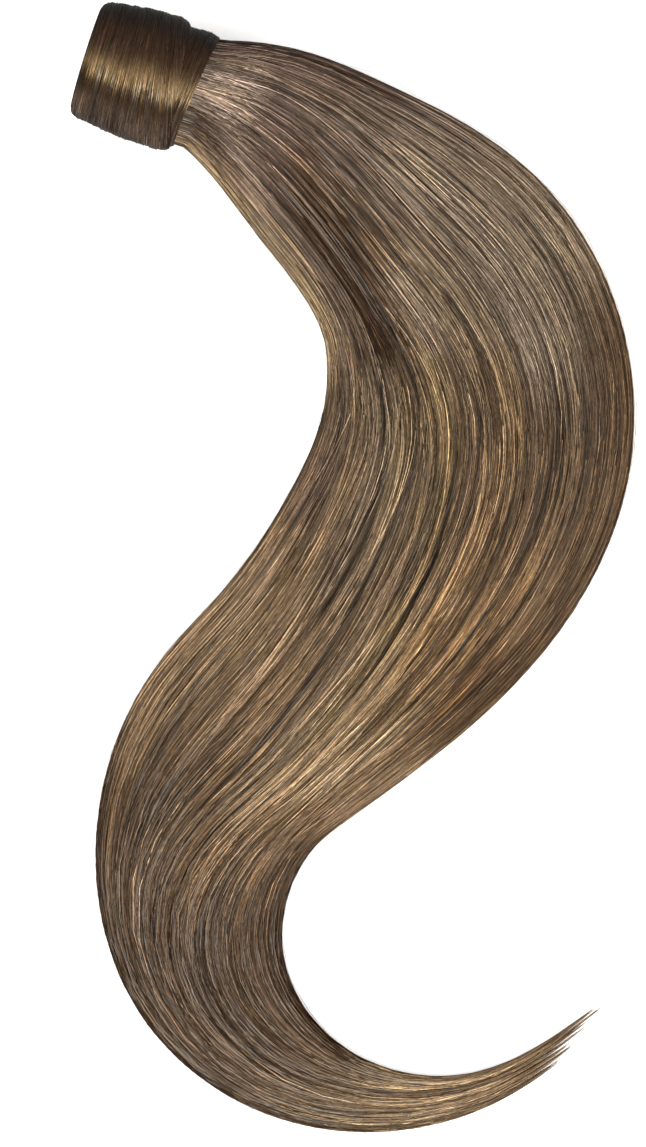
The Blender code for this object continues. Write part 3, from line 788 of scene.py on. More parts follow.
def ribbons(name, paths, outs, widths, tilts, tones, strand, material):
    """Flat ribbons along paths. Each is tilted about its own line from lying flat on the surface.

    strand is how light each one is among the others, from -1 to 1, which its gloss goes by too.
    """
    strands, stations = paths.shape[:2]
    ahead = unit(np.gradient(paths, axis=1))
    side = unit(np.cross(ahead, outs))
    out = np.cross(side, ahead)
    across = side * np.cos(tilts)[..., None] + out * np.sin(tilts)[..., None]
    half = (widths / 2)[..., None]
    points = np.stack([paths - across * half, paths + across * half], axis=2)
    points[..., 2] = np.maximum(points[..., 2], FLOOR_CLEARANCE)
    first = (np.arange(strands)[:, None] * stations + np.arange(stations - 1)) * 2
    first = first.ravel()
    quads = np.stack([first, first + 1, first + 3, first + 2], axis=1)
    obj = new_mesh(name, points, quads, material)
    walked = np.linalg.norm(np.diff(paths, axis=1), axis=-1).cumsum(axis=1)
    walked = np.concatenate([np.zeros((strands, 1)), walked], axis=1)
    which = np.arange(strands)[:, None] * np.ones_like(walked)
    flow = np.stack([which, walked], axis=-1).repeat(2, axis=1).reshape(-1, 2)
    feel = (0.5 + 0.5 * strand).repeat(2 * stations)
    paint(obj, tones.repeat(2, axis=1).reshape(-1, 3), feel, flow)
    strip_map(obj, strands, stations)
    return obj


# The random fields, each with the count of its cells across the hair and along it
RNG = np.random.default_rng(SEEDS["fields"])
RELIEF_FIELDS = [(row["height"], value_noise(RNG, row["across"], row["along"])) for row in RELIEF]
LOCK_SHADE = value_noise(RNG, 60, 5)
MIDDLE_SHADE = value_noise(RNG, 150, 8)
FINE_SHADE = value_noise(RNG, 420, 14)
HUE_DRIFT = value_noise(RNG, 70, 7)
CLUMP_WANDER = value_noise(RNG, CLUMPS, 9)
PARTING_FIELDS = [value_noise(RNG, 17, 4), value_noise(RNG, 31, 6)]
GROOVE_WAVE = value_noise(RNG, 34, 4)
WOUND_SHADE = value_noise(RNG, 30, 6)
WOUND_FINE = value_noise(RNG, 170, 9)
CLUMP_RNG = np.random.default_rng(SEEDS["clumps"])
CLUMP_ANGLES = (np.arange(CLUMPS) + CLUMP_RNG.uniform(*CLUMP_PLACE, CLUMPS)) * math.pi / CLUMPS
CLUMP_PULLS = CLUMP_RNG.uniform(*CLUMP_PULL, CLUMPS)


def parting(own, along):
    """How much a place lies in one of the narrow gaps between locks, from 0 to 1."""
    share = own / math.pi
    lines = [np.exp(-((field(share, along) / PARTING_WIDTH) ** 2)) for field in PARTING_FIELDS]
    return np.maximum(*lines) * ease(along, *PARTING_RISE)


def relief(own, along):
    """How deep the surface lies below the crowns of its locks."""
    share = own / math.pi
    depth = sum(height * (0.5 - 0.5 * field(share, along)) for height, field in RELIEF_FIELDS)
    depth = depth + PARTING_DEPTH * parting(own, along)
    settled = smoothstep(along / SETTLED_AT)
    loose = settled * (1 - TIP_FLATTENING * ease(along, *FLATTEN_RISE))
    return depth * loose + LOCK_HELD_IN * (1 - settled)


def on_path(path, side, along, half_width, fade):
    """How much places lie on a path, from 0 to 1. A path from 0 comes out of the collar at once."""
    stops, sides = np.array(path).T
    begun = smoothstep((along - stops[0]) / fade + 0.5) if stops[0] > 0 else 1.0
    over = smoothstep((stops[-1] - along) / fade + 0.5)
    return np.exp(-(((side - np.interp(along, stops, sides)) / half_width) ** 2)) * begun * over


def fine_lines(turn, along):
    """Painted highlight from the long lines at this place about the section, or painted shade if below 0.
    """
    side = np.cos(own_angle(turn, along))
    total = np.zeros_like(side)
    for row in FINE_LINES:
        total += row["shade"] * on_path(row["path"], side, along, LINE_HALF_WIDTH, LINE_FADE)
    return np.clip(total, -1.0, 1.0)


def unlit(tones):
    """The colour of the hair itself, from its tone in the light."""
    return np.maximum(tones - GLOSS_SHARE, DARKEST) * HAIR_GAIN


def tail_tones(own, along, fray):
    """The colour of the hair at these places, as linear light. fray shifts it across them."""
    tones = tone_between(PLAIN_TONES, "along", along)
    side = np.cos(own) + fray
    for row in STREAKS:
        cover = on_path(row["path"], side, along, row["half_width"], STREAK_FADE) * row["strength"]
        tones = tones + (screen_to_light(TONES[row["tone"]]) - tones) * cover[..., None]
    return unlit(tones)


def vary(tones, own, along, strand, tint=0.0):
    """Sets strand against strand: lights, darks and slight turns to gold and to violet grey."""
    share = own / math.pi
    fields = (LOCK_SHADE, MIDDLE_SHADE, FINE_SHADE)
    shade = sum(weight * field(share, along) for weight, field in zip(SHADE_WEIGHTS, fields))
    light = np.exp(shade + STRAND_CONTRAST * strand) * STRAND_GAIN
    # painted shade in the gaps between locks
    light = light * (1.0 - PARTING_SHADE * parting(own, along))
    pale = np.maximum(strand, 0.0)[..., None]
    hue = HUE_WEIGHTS[0] * HUE_DRIFT(share, along) + HUE_WEIGHTS[1] * tint
    turn = 1 + hue[..., None] * HUE_TURN - pale * PALE_TURN
    grey = tones.mean(axis=-1, keepdims=True)
    tones = tones + (grey - tones) * PALING * pale
    tones = tones * light[..., None] * turn
    return tones * np.minimum(1.0, LIGHTEST / tones.max(axis=-1, keepdims=True))


def draw_strands(count, rng):
    """Draws each strand's own angle, its first and last place along the tail, and its stations there.

    Also says which strands begin or end part of the way along.
    """
    where = rng.uniform(0.0, DRAWN_TO, count)
    level = rng.uniform(-SIDE_LIMIT, SIDE_LIMIT, count)
    even = rng.random(count) < EVEN_SHARE
    angle = np.where(even, np.arccos(level), rng.uniform(ANGLE_LIMIT, math.pi - ANGLE_LIMIT, count))
    own = own_angle(angle, where)
    last = np.interp(np.cos(own), column(TIP_WISPS, "side"), column(TIP_WISPS, "end"))
    last = last - TIP_SPREAD * rng.random(count) ** TIP_POWER
    short = rng.random(count) < SHORT_SHARE
    begins = short & (rng.random(count) < 0.5)
    ends = short & ~begins
    late = np.clip(where - rng.uniform(*SHORT_REACH, count), *SHORT_BEGINS)
    early = np.clip(where + rng.uniform(*SHORT_REACH, count), *SHORT_ENDS)
    first = np.where(begins, late, -STRAND_ROOT / TAIL.length)
    last = np.where(ends, np.minimum(early, last), last)
    steps = np.linspace(0.0, 1.0, STATIONS) ** ROOT_DENSITY
    along = first[:, None] + (last - first)[:, None] * steps
    return own, along, begins, ends, steps


def tip_wisp(own):
    """The own angle of the wisp that each strand joins at the tip."""
    sides = np.array(column(TIP_WISPS, "side"))
    nearest = np.abs(np.cos(own)[:, None] - sides).argmin(axis=1)
    return np.arccos(sides[nearest])


def pointed(steps, share):
    """The width of strands that thin over their last share, to that share of it."""
    return np.minimum(1.0, (1.0 - steps) / share + share)


def strand_piece(name, count, face, material, seed):
    """One piece of strands over the tail's upper or under side."""
    rng = np.random.default_rng(seed)
    draw = per_strand(rng, count)
    own, along, begins, ends, steps = draw_strands(count, rng)
    middle = along.mean(axis=1, keepdims=True)
    crossing = draw() < CROSSING_SHARE
    shortened = middle + (along - middle) * CROSSING_LENGTH
    along = np.where(crossing & (middle > CROSSING_FROM), shortened, along)
    clump = np.abs(own[:, None] - CLUMP_ANGLES).argmin(axis=1)
    gather = CLUMP_PULLS[clump][:, None] * (ROOT_PULL + (1 - ROOT_PULL) * smoothstep(along / PULL_SPAN))
    angle = own[:, None] + (CLUMP_ANGLES[clump] - own)[:, None] * gather
    angle = angle + (tip_wisp(own) - own)[:, None] * ease(along, *GATHER_RISE) * TIP_GATHER
    turn = place_across(angle, along)
    phase = draw(0, TURN)
    sway = np.sin(along * draw(*SWAYS) + phase)
    stray = WANDER * (SWAY_SHARE * sway + CLUMP_SHARE * CLUMP_WANDER(angle / math.pi, along))
    lean = np.where(crossing, CROSSING_LEAN, LEAN) * rng.normal(size=(count, 1))
    stray = stray + lean * (along - middle) * (1 - ease(along, *LEAN_FALL))
    turn = np.clip(turn + stray * smoothstep(along / STRAY_RISE), EDGE_STOP, math.pi - EDGE_STOP)
    depth = draw() ** DEPTH_POWER * LAYER_DEPTH * np.where(crossing, CROSSING_DEPTH, 1.0)
    weave = sum(
        row["height"] * np.sin(along * draw(*row["waves"]) + phase * row["shift"]) for row in WEAVES
    )
    dip = begins[:, None] * smoothstep((BEGIN_SPAN - steps) / BEGIN_SPAN)
    dip = END_DIP * (dip + ends[:, None] * ease(steps, *END_RISE))
    # painted shade in the dark lines, which also cut a groove, and painted highlight in the light ones
    lines = fine_lines(turn, along)
    lines = lines * np.where(lines < 0, DARK_LINE, LIGHT_LINE)
    groove = PARTING_DEPTH * np.maximum(-lines, 0.0)
    calm = 1.0 - EDGE_CALM * ease(np.abs(np.cos(turn)), *EDGE_RISE)
    inset = (relief(angle, along) + depth + weave + groove) * calm + dip
    paths, outs = TAIL.skin(along, np.cos(turn), face, inset)
    widths = draw(*STRAND_WIDTH) * (pointed(steps, POINT) * (1.0 - TIP_THINNING * ease(along, *THIN_RISE)))
    tilts = np.radians(STRAND_TILT) * draw(-1, 1) + STRAND_TWIST * np.sin(along * TWIST_WAVES + phase)
    strand = np.clip(rng.normal(size=(count, 1)), *STRAND_TONES) / 2
    tint = draw(-1, 1)
    fray = STREAK_FRAY * rng.normal(size=(count, 1))
    tones = vary(tail_tones(angle, along, fray), angle, along, strand, tint)
    # painted shadow of the collar
    collar = 1.0 - COLLAR_SHADE * np.exp(-((along / COLLAR_REACH) ** 2))
    tones = tones * (np.exp(lines) * collar)[..., None]
    # painted shade: deeper strands darker, uppermost lighter
    depth_shade = DEEP_SHADE * (1.0 - TIP_LIGHT * ease(along, *TIP_LIGHT_RISE))
    tones = tones * np.maximum(CROWN_LIGHT - depth_shade * (depth / LAYER_DEPTH), DEEP_LIGHT)[..., None]
    # painted shade on the underside
    if face < 0:
        tones = tones * UNDERSIDE_SHADE
    obj = ribbons(name, paths, outs, widths, tilts, tones, strand, material)
    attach(obj, "root")


def flyaway_piece(name, count, material, seed):
    """Loose fine strands that stand off the surface and its edges."""
    rng = np.random.default_rng(seed)
    draw = per_strand(rng, count)
    own, _, _, _, steps = draw_strands(count, rng)
    edge = rng.random(count) < EDGE_SHARE
    edge_angle = np.where(rng.random(count) < 0.5, EDGE_ANGLE, math.pi - EDGE_ANGLE)
    own = np.where(edge, edge_angle, own)[:, None]
    first = draw(*FLYAWAY_BEGINS)
    last = np.minimum(first + draw(*FLYAWAY_LENGTH), FLYAWAY_END)
    along = first + (last - first) * steps
    phase = draw(0, TURN)
    turn = place_across(own, along) + FLYAWAY_SWAY * np.sin(along * draw(*FLYAWAY_WAVES) + phase)
    lift = FLYAWAY_BOW * draw() * np.sin(math.pi * steps) ** 2 + FLYAWAY_LIFT * draw() * steps
    paths, outs = TAIL.skin(along, np.cos(turn), 1.0, FLYAWAY_DEPTH - lift)
    widths = draw(*FLYAWAY_WIDTH) * pointed(steps, FLYAWAY_POINT)
    tilts = draw(-FLYAWAY_TILT, FLYAWAY_TILT)
    strand = draw(-1, 1)
    tones = vary(tail_tones(own, along, 0.0), own, along, strand)
    obj = ribbons(name, paths, outs, widths, tilts, tones, strand, material)
    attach(obj, "root")


def tail_body(material):
    """The body of hair under the strands, in painted shade, from inside the base to near the tips."""
    turns = np.linspace(0.0, TURN, BODY_SIDES, endpoint=False) + BODY_EDGE
    along = np.linspace(0.0, BODY_END, BODY_RINGS)
    grid_along = along[:, None] * np.ones_like(turns)
    grid_turn = turns * np.ones_like(grid_along)
    above = np.sin(grid_turn) > 0
    own = np.where(above, grid_turn, TURN - grid_turn)
    own = np.clip(own % TURN, BODY_EDGE, math.pi - BODY_EDGE)
    placed = place_across(own, grid_along)
    _, half_height = TAIL.halves(grid_along)
    inset = np.minimum(relief(own, grid_along) + LAYER_DEPTH * BODY_DEPTH, half_height * BODY_LIMIT)
    narrow = 1.0 - BODY_NARROWING * ease(grid_along, *NARROW_RISE)
    points, _ = TAIL.skin(grid_along, np.cos(placed) * narrow, np.where(above, 1.0, -1.0), inset)
    points[..., 2] = np.maximum(points[..., 2], FLOOR_CLEARANCE)
    head = [base_ring(place, head_half(place) - HEAD_INSIDE, turns) for place in HEAD_PLACES]
    bore = BAND_BORE_WIDTH / 2 + BAND_WALL + PIECE_GAP
    core = [base_ring(place, bore, turns) for place in (HEAD_PLACES[-1], HEAD_PLACES[0])]
    end = points[-1].mean(axis=0)
    shrink = [end + (points[-1] - end) * share for share in BODY_CLOSES]
    rings = np.stack([*core, *head, *points, *shrink])
    obj = new_mesh("tail_body", rings, ring_quads(len(rings), BODY_SIDES, False), material)
    # painted shade of the body between the strands
    tones = tail_tones(own, grid_along, 0.0) * BODY_SHADE
    tones = vary(tones, own, grid_along, np.zeros_like(own))
    before = np.repeat(tones[:1], len(core) + len(head), axis=0)
    after = np.repeat(tones[-1:], len(shrink), axis=0)
    walked = np.linspace(0, TAIL.length, len(rings))[:, None] * np.ones_like(turns)
    which = BODY_STRANDS * np.minimum(turns, TURN - turns) / math.pi * np.ones_like(walked)
    flow = np.stack([which, walked], axis=-1).reshape(-1, 2)
    paint(obj, np.concatenate([before, tones, after]).reshape(-1, 3), MIDDLE_FEEL, flow)
    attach(obj, "root")
    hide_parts("hair_tail")


def wound_body(name, node, profile, wound, material):
    """A wall of wound hair: a profile of (distance behind the mouth, half width) carried round the base.

    From where the barrel is full it slants, the more the nearer to its reach.
    """
    turns = np.linspace(0.0, TURN, BODY_SIDES, endpoint=False)
    along, half = np.array(profile).T[:, :, None]
    start = BARREL_FULL * OUTER_TURN_LENGTH
    shift = wound["slant"] / 2 * np.cos(turns) * np.maximum(along - start, 0.0) / (wound["reach"] - start)
    points = base_ring(along + shift, half, turns)
    points[..., 2] = np.maximum(points[..., 2], FLOOR_CLEARANCE)
    obj = new_mesh(name, points, ring_quads(len(points), BODY_SIDES, True), material)
    walked = BARREL_WIDTH / 2 * np.minimum(turns, TURN - turns)
    flow = np.stack(np.broadcast_arrays(along * WALL_STRANDS, walked), axis=-1).reshape(-1, 2)
    # painted shade of the wall between the wound strands
    paint(obj, screen_to_light(WRAP_UNDER) * WALL_SHADE, MIDDLE_FEEL, flow)
    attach(obj, "root")
    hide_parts(node)


def wrap_tones(share, turns, strand):
    """Wound hair's tone: near black at its left side, a ragged painted highlight band along its crown."""
    round_share = (turns + math.pi / 2) / TURN
    locks = WOUND_SHADE(share, round_share)
    # painted highlight band along the crown, shifted strand by strand
    tones = tone_between(WRAP_TONES, "across", np.cos(turns) + HIGHLIGHT_BAND_RAGGED * (strand + locks))
    below = smoothstep(UNDER_STARTS - np.sin(turns))[..., None]
    tones = tones + (screen_to_light(WRAP_UNDER) - tones) * below
    single, fine, broad = WRAP_CONTRASTS
    light = np.exp(single * strand + fine * WOUND_FINE(share, round_share) + broad * locks) * WRAP_GAIN
    return unlit(tones) * light[..., None]


def wound_strands(name, wound, half_at, seed, material):
    """Strands wound once round the base, for one of its turns.

    They lie from the nearest place behind the mouth to the turn's reach. fanned is how strongly those
    near the far edge slant towards it and go in under it.
    """
    count = wound["strands"]
    reach = wound["reach"]
    rng = np.random.default_rng(seed)
    draw = per_strand(rng, count)
    place = np.sort(rng.uniform(wound["nearest"], reach - WOUND_EDGES[1], count))[:, None]
    turns = np.linspace(-math.pi / 2, 1.5 * math.pi, WOUND_STATIONS) + draw(-WOUND_SHIFT, WOUND_SHIFT)
    share = np.clip(place / reach, 0, 1)
    phase = draw(0, TURN)
    sway = WOUND_SWAY * np.sin(turns * rng.integers(*SWAY_TURNS, (count, 1)) + phase)
    pitch = WOUND_PITCH * draw(-1, 1) * np.sin(turns / 2 + PITCH_PHASE)
    fan = FAN * ease(share, *FAN_RISE) * (FAN_BIAS - np.cos(turns)) * wound["fanned"]
    along = place + sway + pitch + fan
    tucked = TUCK * smoothstep((along - reach) / TUCK_SPAN)
    along = np.clip(along, WOUND_EDGES[0], reach)
    shift = wound["slant"] / 2 * np.cos(turns) * share**SLANT_POWER
    depth = draw() ** WOUND_DEPTH_POWER * WOUND_DEPTH
    groove = WOUND_GROOVE * (0.5 + 0.5 * GROOVE_WAVE(share, (turns + math.pi / 2) / TURN))
    ripple = RIPPLE * np.sin(turns * rng.integers(*RIPPLE_TURNS, (count, 1)) + phase * RIPPLE_SHIFT)
    paths = base_ring(along + shift, half_at(along) - depth - groove - ripple - tucked, turns)
    paths[..., 2] = np.maximum(paths[..., 2], FLOOR_CLEARANCE)
    outs = unit(BASE_LEFT * np.cos(turns)[..., None] * UPRIGHT_SHARE + UP * np.sin(turns)[..., None])
    slope = (half_at(along + WOUND_NUDGE) - half_at(along - WOUND_NUDGE)) / (2 * WOUND_NUDGE)
    outs = unit(outs - BASE_AXIS * slope[..., None])
    widths = draw(*WOUND_WIDTH)
    tilts = np.radians(WOUND_TILT) * rng.normal(size=(count, 1)) + WOUND_TWIST * np.sin(turns * 2 + phase)
    strand = draw(-1, 1)
    tones = wrap_tones(share, turns, strand)
    # painted shade: deeper wound strands darker
    tones = tones * (1.0 - WOUND_DEPTH_SHADE * depth / WOUND_DEPTH)[..., None]
    obj = ribbons(name, paths, outs, widths, tilts, tones, strand, material)
    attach(obj, "root")


def root_strands(material, seed):
    """The folded roots of the hair round the band, which show as a ring in the base's mouth."""
    draw = per_strand(np.random.default_rng(seed), ROOT_STRANDS)
    turns = draw(0, TURN)
    sweep = np.linspace(0.0, 1.0, ROOT_STATIONS)
    bulge = np.sin(math.pi * sweep)
    lean = np.cos(math.pi * sweep)
    inner = BAND_BORE_WIDTH / 2 + BAND_WALL + ROOT_GAPS[0]
    outer = head_half(BAND_INSET) - ROOT_GAPS[1]
    half = inner + (outer - inner) * (0.5 - 0.5 * lean)
    along = BAND_INSET + ROOT_BEHIND - ROOT_BULGE * bulge + ROOT_UNEVEN * draw()
    turning = turns + ROOT_TURN * draw(-1, 1) * sweep
    paths = base_ring(along, half, turning)
    away = BASE_LEFT * np.cos(turning)[..., None] + UP * (np.sin(turning)[..., None] * UPRIGHT_SHARE)
    outs = unit(-BASE_AXIS * bulge[:, None] - away * lean[:, None] * ROOT_LEAN)
    widths = draw(*ROOT_WIDTH)
    tilts = np.radians(ROOT_TILT) * draw(-1, 1)
    strand = draw(-1, 1)
    # painted shade in the mouth
    tones = wrap_tones(np.full_like(turning, 0.5), turning, strand) * ROOT_SHADE
    obj = ribbons("root_strands", paths, outs, widths, tilts, tones, strand, material)
    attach(obj, "root")


def wire(node, **inputs):
    """Sets a node's inputs, or links them where they are given a socket."""
    for name, value in inputs.items():
        socket = node.inputs[name.replace("_", " ")]
        if isinstance(value, bpy.types.NodeSocket):
            node.id_data.links.new(value, socket)
        else:
            socket.default_value = value
    return node


def new_material(name):
    """A material, its shader and a function that adds a node with its settings and inputs."""
    material = bpy.data.materials.new(name)
    material.use_nodes = True
    nodes = material.node_tree.nodes

    def add(kind, settings=(), **inputs):
        node = nodes.new("ShaderNode" + kind)
        for setting, value in dict(settings).items():
            setattr(node, setting, value)
        return wire(node, **inputs)

    return material, nodes["Principled BSDF"], add


def combined(add, operation, *sources):
    node = add("Math", {"operation": operation})
    for source, socket in zip(sources, node.inputs):
        node.id_data.links.new(source, socket)
    return node.outputs["Value"]


def two_tones(add, share, dark, light, ends=(0.0, 1.0)):
    """A ramp from one colour to another, while a share goes from end to end."""
    ramp = add("ValToRGB", Fac=share)
    for element, colour, end in zip(ramp.color_ramp.elements, (dark, light), ends):
        element.position = end
        element.color = (*colour, 1)
    return ramp.outputs["Color"]


def hair_material(name, roughness, specular, tint):
    """Hair: the painted tone broken up by fine streaks, with a gloss that differs by strand."""
    material, shader, add = new_material(name)
    roughness_spread = 0.07

    def painted(attribute, output):
        return add("Attribute", {"attribute_name": attribute}).outputs[output]

    def streaks(strand_cells, metre_cells, detail, rough):
        """Noise that is drawn out along the strands, by its cells for each strand and each metre."""
        drawn = add("VectorMath", {"operation": "MULTIPLY"}, Vector=flow)
        drawn.inputs[1].default_value = (strand_cells, metre_cells, 1.0)
        vector = drawn.outputs["Vector"]
        return add("TexNoise", Vector=vector, Scale=1.0, Detail=detail, Roughness=rough).outputs["Fac"]

    flow = painted("flow", "Vector")
    grain = streaks(strand_cells=0.7, metre_cells=90.0, detail=2.0, rough=0.6)
    speck = streaks(strand_cells=1.3, metre_cells=620.0, detail=1.0, rough=0.5)
    both = combined(add, "ADD", grain, speck)
    light = add("MapRange", Value=both, From_Min=0.68, From_Max=1.32, To_Min=0.42, To_Max=1.72)
    tone = painted("tone", "Color")
    scaled = add("VectorMath", {"operation": "SCALE"}, Vector=tone, Scale=light.outputs["Result"])
    low = roughness - roughness_spread
    high = roughness + roughness_spread
    gloss = add("MapRange", Value=painted("feel", "Fac"), To_Min=low, To_Max=high)
    wire(shader, Base_Color=scaled.outputs["Vector"], Roughness=gloss.outputs["Result"])
    wire(shader, Specular_IOR_Level=specular, Specular_Tint=(*tint, 1.0))
    return material


def cloth_material():
    """Brown elastic cloth: fine ribs along the band, crossed by a thread."""
    material, shader, add = new_material("band_cloth")
    uv = add("UVMap", {"uv_map": "thread"}).outputs["UV"]
    ribs = add("TexWave", {"bands_direction": "X"}, Vector=uv, Scale=210.0, Distortion=0.6)
    cross = add("TexWave", {"bands_direction": "Y"}, Vector=uv, Scale=330.0, Distortion=0.4)
    weave = combined(add, "MULTIPLY", ribs.outputs["Fac"], cross.outputs["Fac"])
    colour = two_tones(add, weave, dark=(0.010, 0.007, 0.005), light=(0.050, 0.036, 0.027))
    bump = add("Bump", Height=weave, Strength=0.5, Distance=0.0004)
    wire(shader, Base_Color=colour, Normal=bump.outputs["Normal"], Roughness=0.88)
    return material


def comb_material():
    """Dark tortoiseshell plastic with soft amber clouds."""
    material, shader, add = new_material("comb_plastic")
    place = add("TexCoord").outputs["Object"]
    clouds = add("TexNoise", Vector=place, Scale=160.0, Detail=3.0).outputs["Fac"]
    amber = (0.11, 0.045, 0.014)
    colour = two_tones(add, clouds, dark=(0.012, 0.006, 0.003), light=amber, ends=(0.42, 0.66))
    scuff = add("TexNoise", Vector=place, Scale=900.0, Detail=2.0).outputs["Fac"]
    gloss = add("MapRange", Value=scuff, To_Min=0.20, To_Max=0.36)
    wire(shader, Base_Color=colour, Roughness=gloss.outputs["Result"])
    return material


def floor_material():
    """Matt white paper with the faintest mottling."""
    material, shader, add = new_material("floor_paper")
    place = add("TexCoord").outputs["Object"]
    mottle = add("TexNoise", Vector=place, Scale=3.0, Detail=2.0).outputs["Fac"]
    colour = two_tones(add, mottle, dark=(0.90, 0.90, 0.90), light=(0.92, 0.92, 0.92))
    wire(shader, Base_Color=colour, Roughness=0.9, Specular_IOR_Level=0.2)
    return material


def band(material):
    """The cloth band rolled into a tube, with a rolled hem at each end and two seams inside."""
    turns = np.linspace(0.0, TURN, BAND_SIDES, endpoint=False)
    inner = BAND_BORE_WIDTH / 2
    outer = inner + BAND_WALL
    middle = (inner + outer) / 2
    hem = BAND_WALL / 2
    end = BAND_INSET + BAND_LENGTH
    swings = [math.pi * k / HEM_STEPS for k in range(HEM_STEPS + 1)]
    rings, depth = BAND_OUTSIDE
    profile = [(BAND_INSET + hem - hem * math.sin(s), middle - hem * math.cos(s)) for s in swings]
    profile += [(a, outer - depth) for a in np.linspace(BAND_INSET + HEM_WIDTH, end - HEM_WIDTH, rings)]
    profile += [(end - hem + hem * math.sin(s), middle + hem * math.cos(s)) for s in swings]
    seams = [BAND_INSET + SEAM_PLACE, end - SEAM_PLACE]
    rings, edge, depth = BAND_INSIDE
    for along in np.linspace(end - edge, BAND_INSET + edge, rings):
        pulled = sum(math.exp(-(((along - seam) / SEAM_WIDTH) ** 2)) for seam in seams)
        profile.append((along, inner + depth + SEAM_HEIGHT * pulled))
    along, half = np.array(profile).T[:, :, None]
    quads = ring_quads(len(profile), BAND_SIDES, True)[:, [1, 0, 3, 2]]
    obj = new_mesh("band_cloth_tube", base_ring(along, half, turns), quads, material)
    steps = [math.dist(a, b) for a, b in zip(profile, [*profile[1:], profile[0]])]
    distance = np.cumsum([0.0, *steps])
    around = np.linspace(0.0, TURN * middle, BAND_SIDES + 1)
    uvs = []
    for near, far in zip(distance, distance[1:]):
        for first, second in zip(around, around[1:]):
            uvs += [(second, near), (first, near), (first, far), (second, far)]
    layer = obj.data.uv_layers.new(name="thread")
    layer.data.foreach_set("uv", np.array(uvs, np.float32).ravel())
    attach(obj, "root")
    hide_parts("fixing_band")


def wall(places, half_at, offset):
    """One face of a wall's profile, as points (distance behind the mouth, half width)."""
    return [(place, float(half_at(place)) + offset) for place in places]


def outer_profile():
    """The outer turn's wall, a little inside the strands that cover it."""
    inside = 0.0006
    thinner = 0.0001
    shares = [0.0, 0.03, ROUNDED_MOUTH, 0.2, 0.3, 0.44, BARREL_FULL, 0.75, ROUNDED_EDGE, 0.98, 1.0]
    inner_shares = [1.0, BARREL_FULL, 0.3, LIP_INSIDE + 0.03]
    outline = wall(np.multiply(shares, OUTER_TURN_LENGTH), turn_outer_half, -inside)
    return outline + wall(np.multiply(inner_shares, OUTER_TURN_LENGTH), turn_inner_half, thinner)


def inner_profile():
    """The inner turn's wall, from just inside the mouth to the collar's edge."""
    inside = 0.0005
    last = BASE_LENGTH - WOUND_EDGES[1]
    places = [BAND_INSET + MOUTH_ROUNDING, 0.004, 0.01, 0.02, 0.032, 0.036, 0.0385, 0.04, 0.0408, last]
    lip = float(collar_half(BAND_INSET)) - inside - MOUTH_ROUNDING / 2
    outline = [(BAND_INSET, lip), *wall(places, collar_half, -inside)]
    return outline + wall([last, 0.036, 0.02, 0.01, BAND_INSET], inner_turn_half, -INNER_TURN_WALL)


def area_light(name, place, aim, size, power, colour):
    data = bpy.data.lights.new(name, "AREA")
    data.shape = "RECTANGLE"
    data.size, data.size_y = size
    data.energy = power
    data.color = colour
    obj = bpy.data.objects.new(name, data)
    obj.location = place
    obj.rotation_euler = (Vector(aim) - Vector(place)).to_track_quat("-Z", "Y").to_euler()
    obj.visible_camera = False
    bpy.context.scene.collection.objects.link(obj)
    return obj


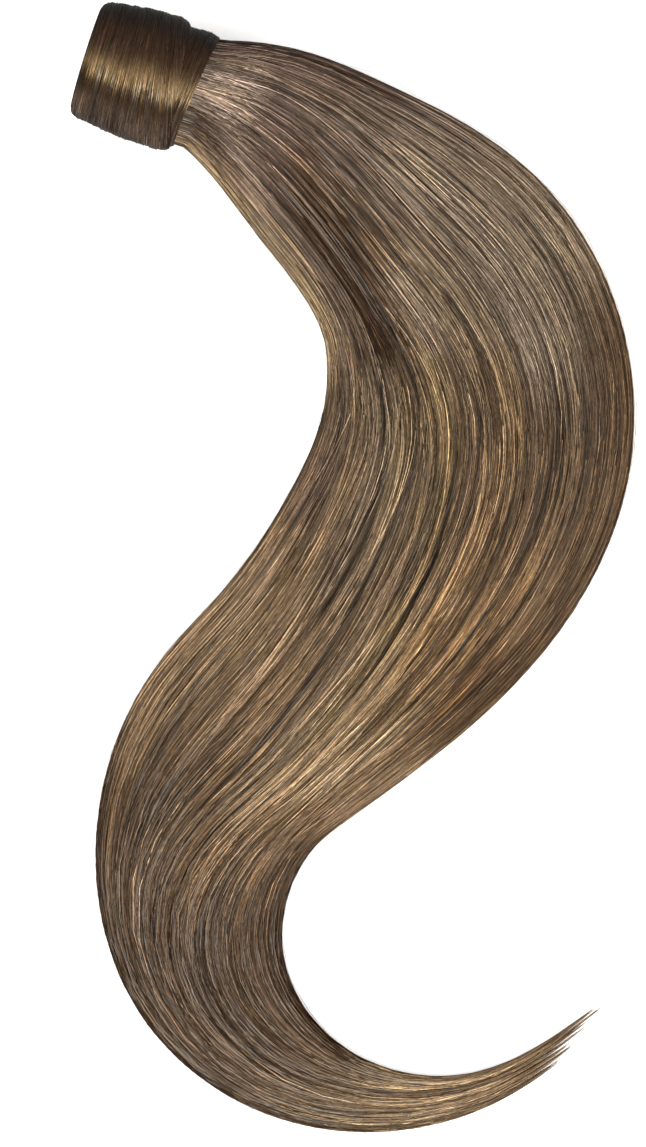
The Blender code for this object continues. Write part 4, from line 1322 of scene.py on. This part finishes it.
def studio():
    """A white floor, an even sky, soft boxes overhead and to the right, and fill lights on the floor."""
    world = bpy.data.worlds.new("studio_sky")
    world.use_nodes = True
    background = world.node_tree.nodes["Background"]
    background.inputs["Color"].default_value = (1.0, 1.0, 1.0, 1.0)
    background.inputs["Strength"].default_value = WORLD_LIGHT
    bpy.context.scene.world = world
    mesh = bpy.data.meshes.new("studio_floor")
    half = FLOOR_SIZE / 2
    corners = [(-half, -half, 0), (half, -half, 0), (half, half, 0), (-half, half, 0)]
    mesh.from_pydata(corners, [], [(0, 1, 2, 3)])
    mesh.materials.append(floor_material())
    floor = bpy.data.objects.new("studio_floor", mesh)
    bpy.context.scene.collection.objects.link(floor)
    floor.visible_glossy = False
    lit_floor = bpy.data.collections.new("lit_floor")
    lit_floor.objects.link(floor)
    for row in LIGHTS:
        settings = dict(row)
        floor_only = settings.pop("floor_only")
        light = area_light(**settings)
        if floor_only:
            light.visible_glossy = False
            light.light_linking.receiver_collection = lit_floor


def camera():
    """A camera straight above, framed as the picture is."""
    data = bpy.data.cameras.new("camera")
    data.lens = LENS
    data.sensor_width = SENSOR
    data.sensor_fit = "AUTO"
    obj = bpy.data.objects.new("camera", data)
    x = (PICTURE[0] / 2 - PICTURE_ORIGIN[0]) * PIXEL
    y = (PICTURE_ORIGIN[1] - PICTURE[1] / 2) * PIXEL
    distance = PICTURE[1] * PIXEL * LENS / SENSOR
    obj.location = (x, y, HAIR_PLANE + distance)
    bpy.context.scene.collection.objects.link(obj)
    bpy.context.scene.camera = obj


def build():
    tail_hair = hair_material("tail_hair", roughness=0.34, specular=0.34, tint=(1.0, 0.90, 0.78))
    wrap_hair = hair_material("wrap_hair", roughness=0.33, specular=0.55, tint=(1.0, 0.84, 0.62))
    body_hair = hair_material("body_hair", roughness=0.60, specular=0.20, tint=(1.0, 0.90, 0.80))
    tail_body(body_hair)
    for i in range(TAIL_PIECES):
        strand_piece(f"tail_strands_{i + 1}", STRANDS_IN_PIECE, 1.0, tail_hair, SEEDS["tail"] + i)
    strand_piece("tail_strands_under", UNDER_STRANDS, -1.0, tail_hair, SEEDS["under"])
    flyaway_piece("tail_flyaways", FLYAWAYS, tail_hair, SEEDS["flyaways"])
    wound_body("wrap_outer_body", "wrap_outer_turn", outer_profile(), OUTER_TURN, body_hair)
    wound_body("wrap_inner_body", "wrap_inner_turn", inner_profile(), INNER_TURN, body_hair)
    wound_strands("wrap_outer_strands", OUTER_TURN, turn_outer_half, SEEDS["outer"], wrap_hair)
    wound_strands("wrap_inner_strands", INNER_TURN, collar_half, SEEDS["inner"], wrap_hair)
    root_strands(tail_hair, SEEDS["roots"])
    band(cloth_material())
    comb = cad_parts["comb"]
    comb.data.materials.clear()
    comb.data.materials.append(comb_material())


bpy.context.scene.view_settings.view_transform = "Standard"
camera()
studio()
build()
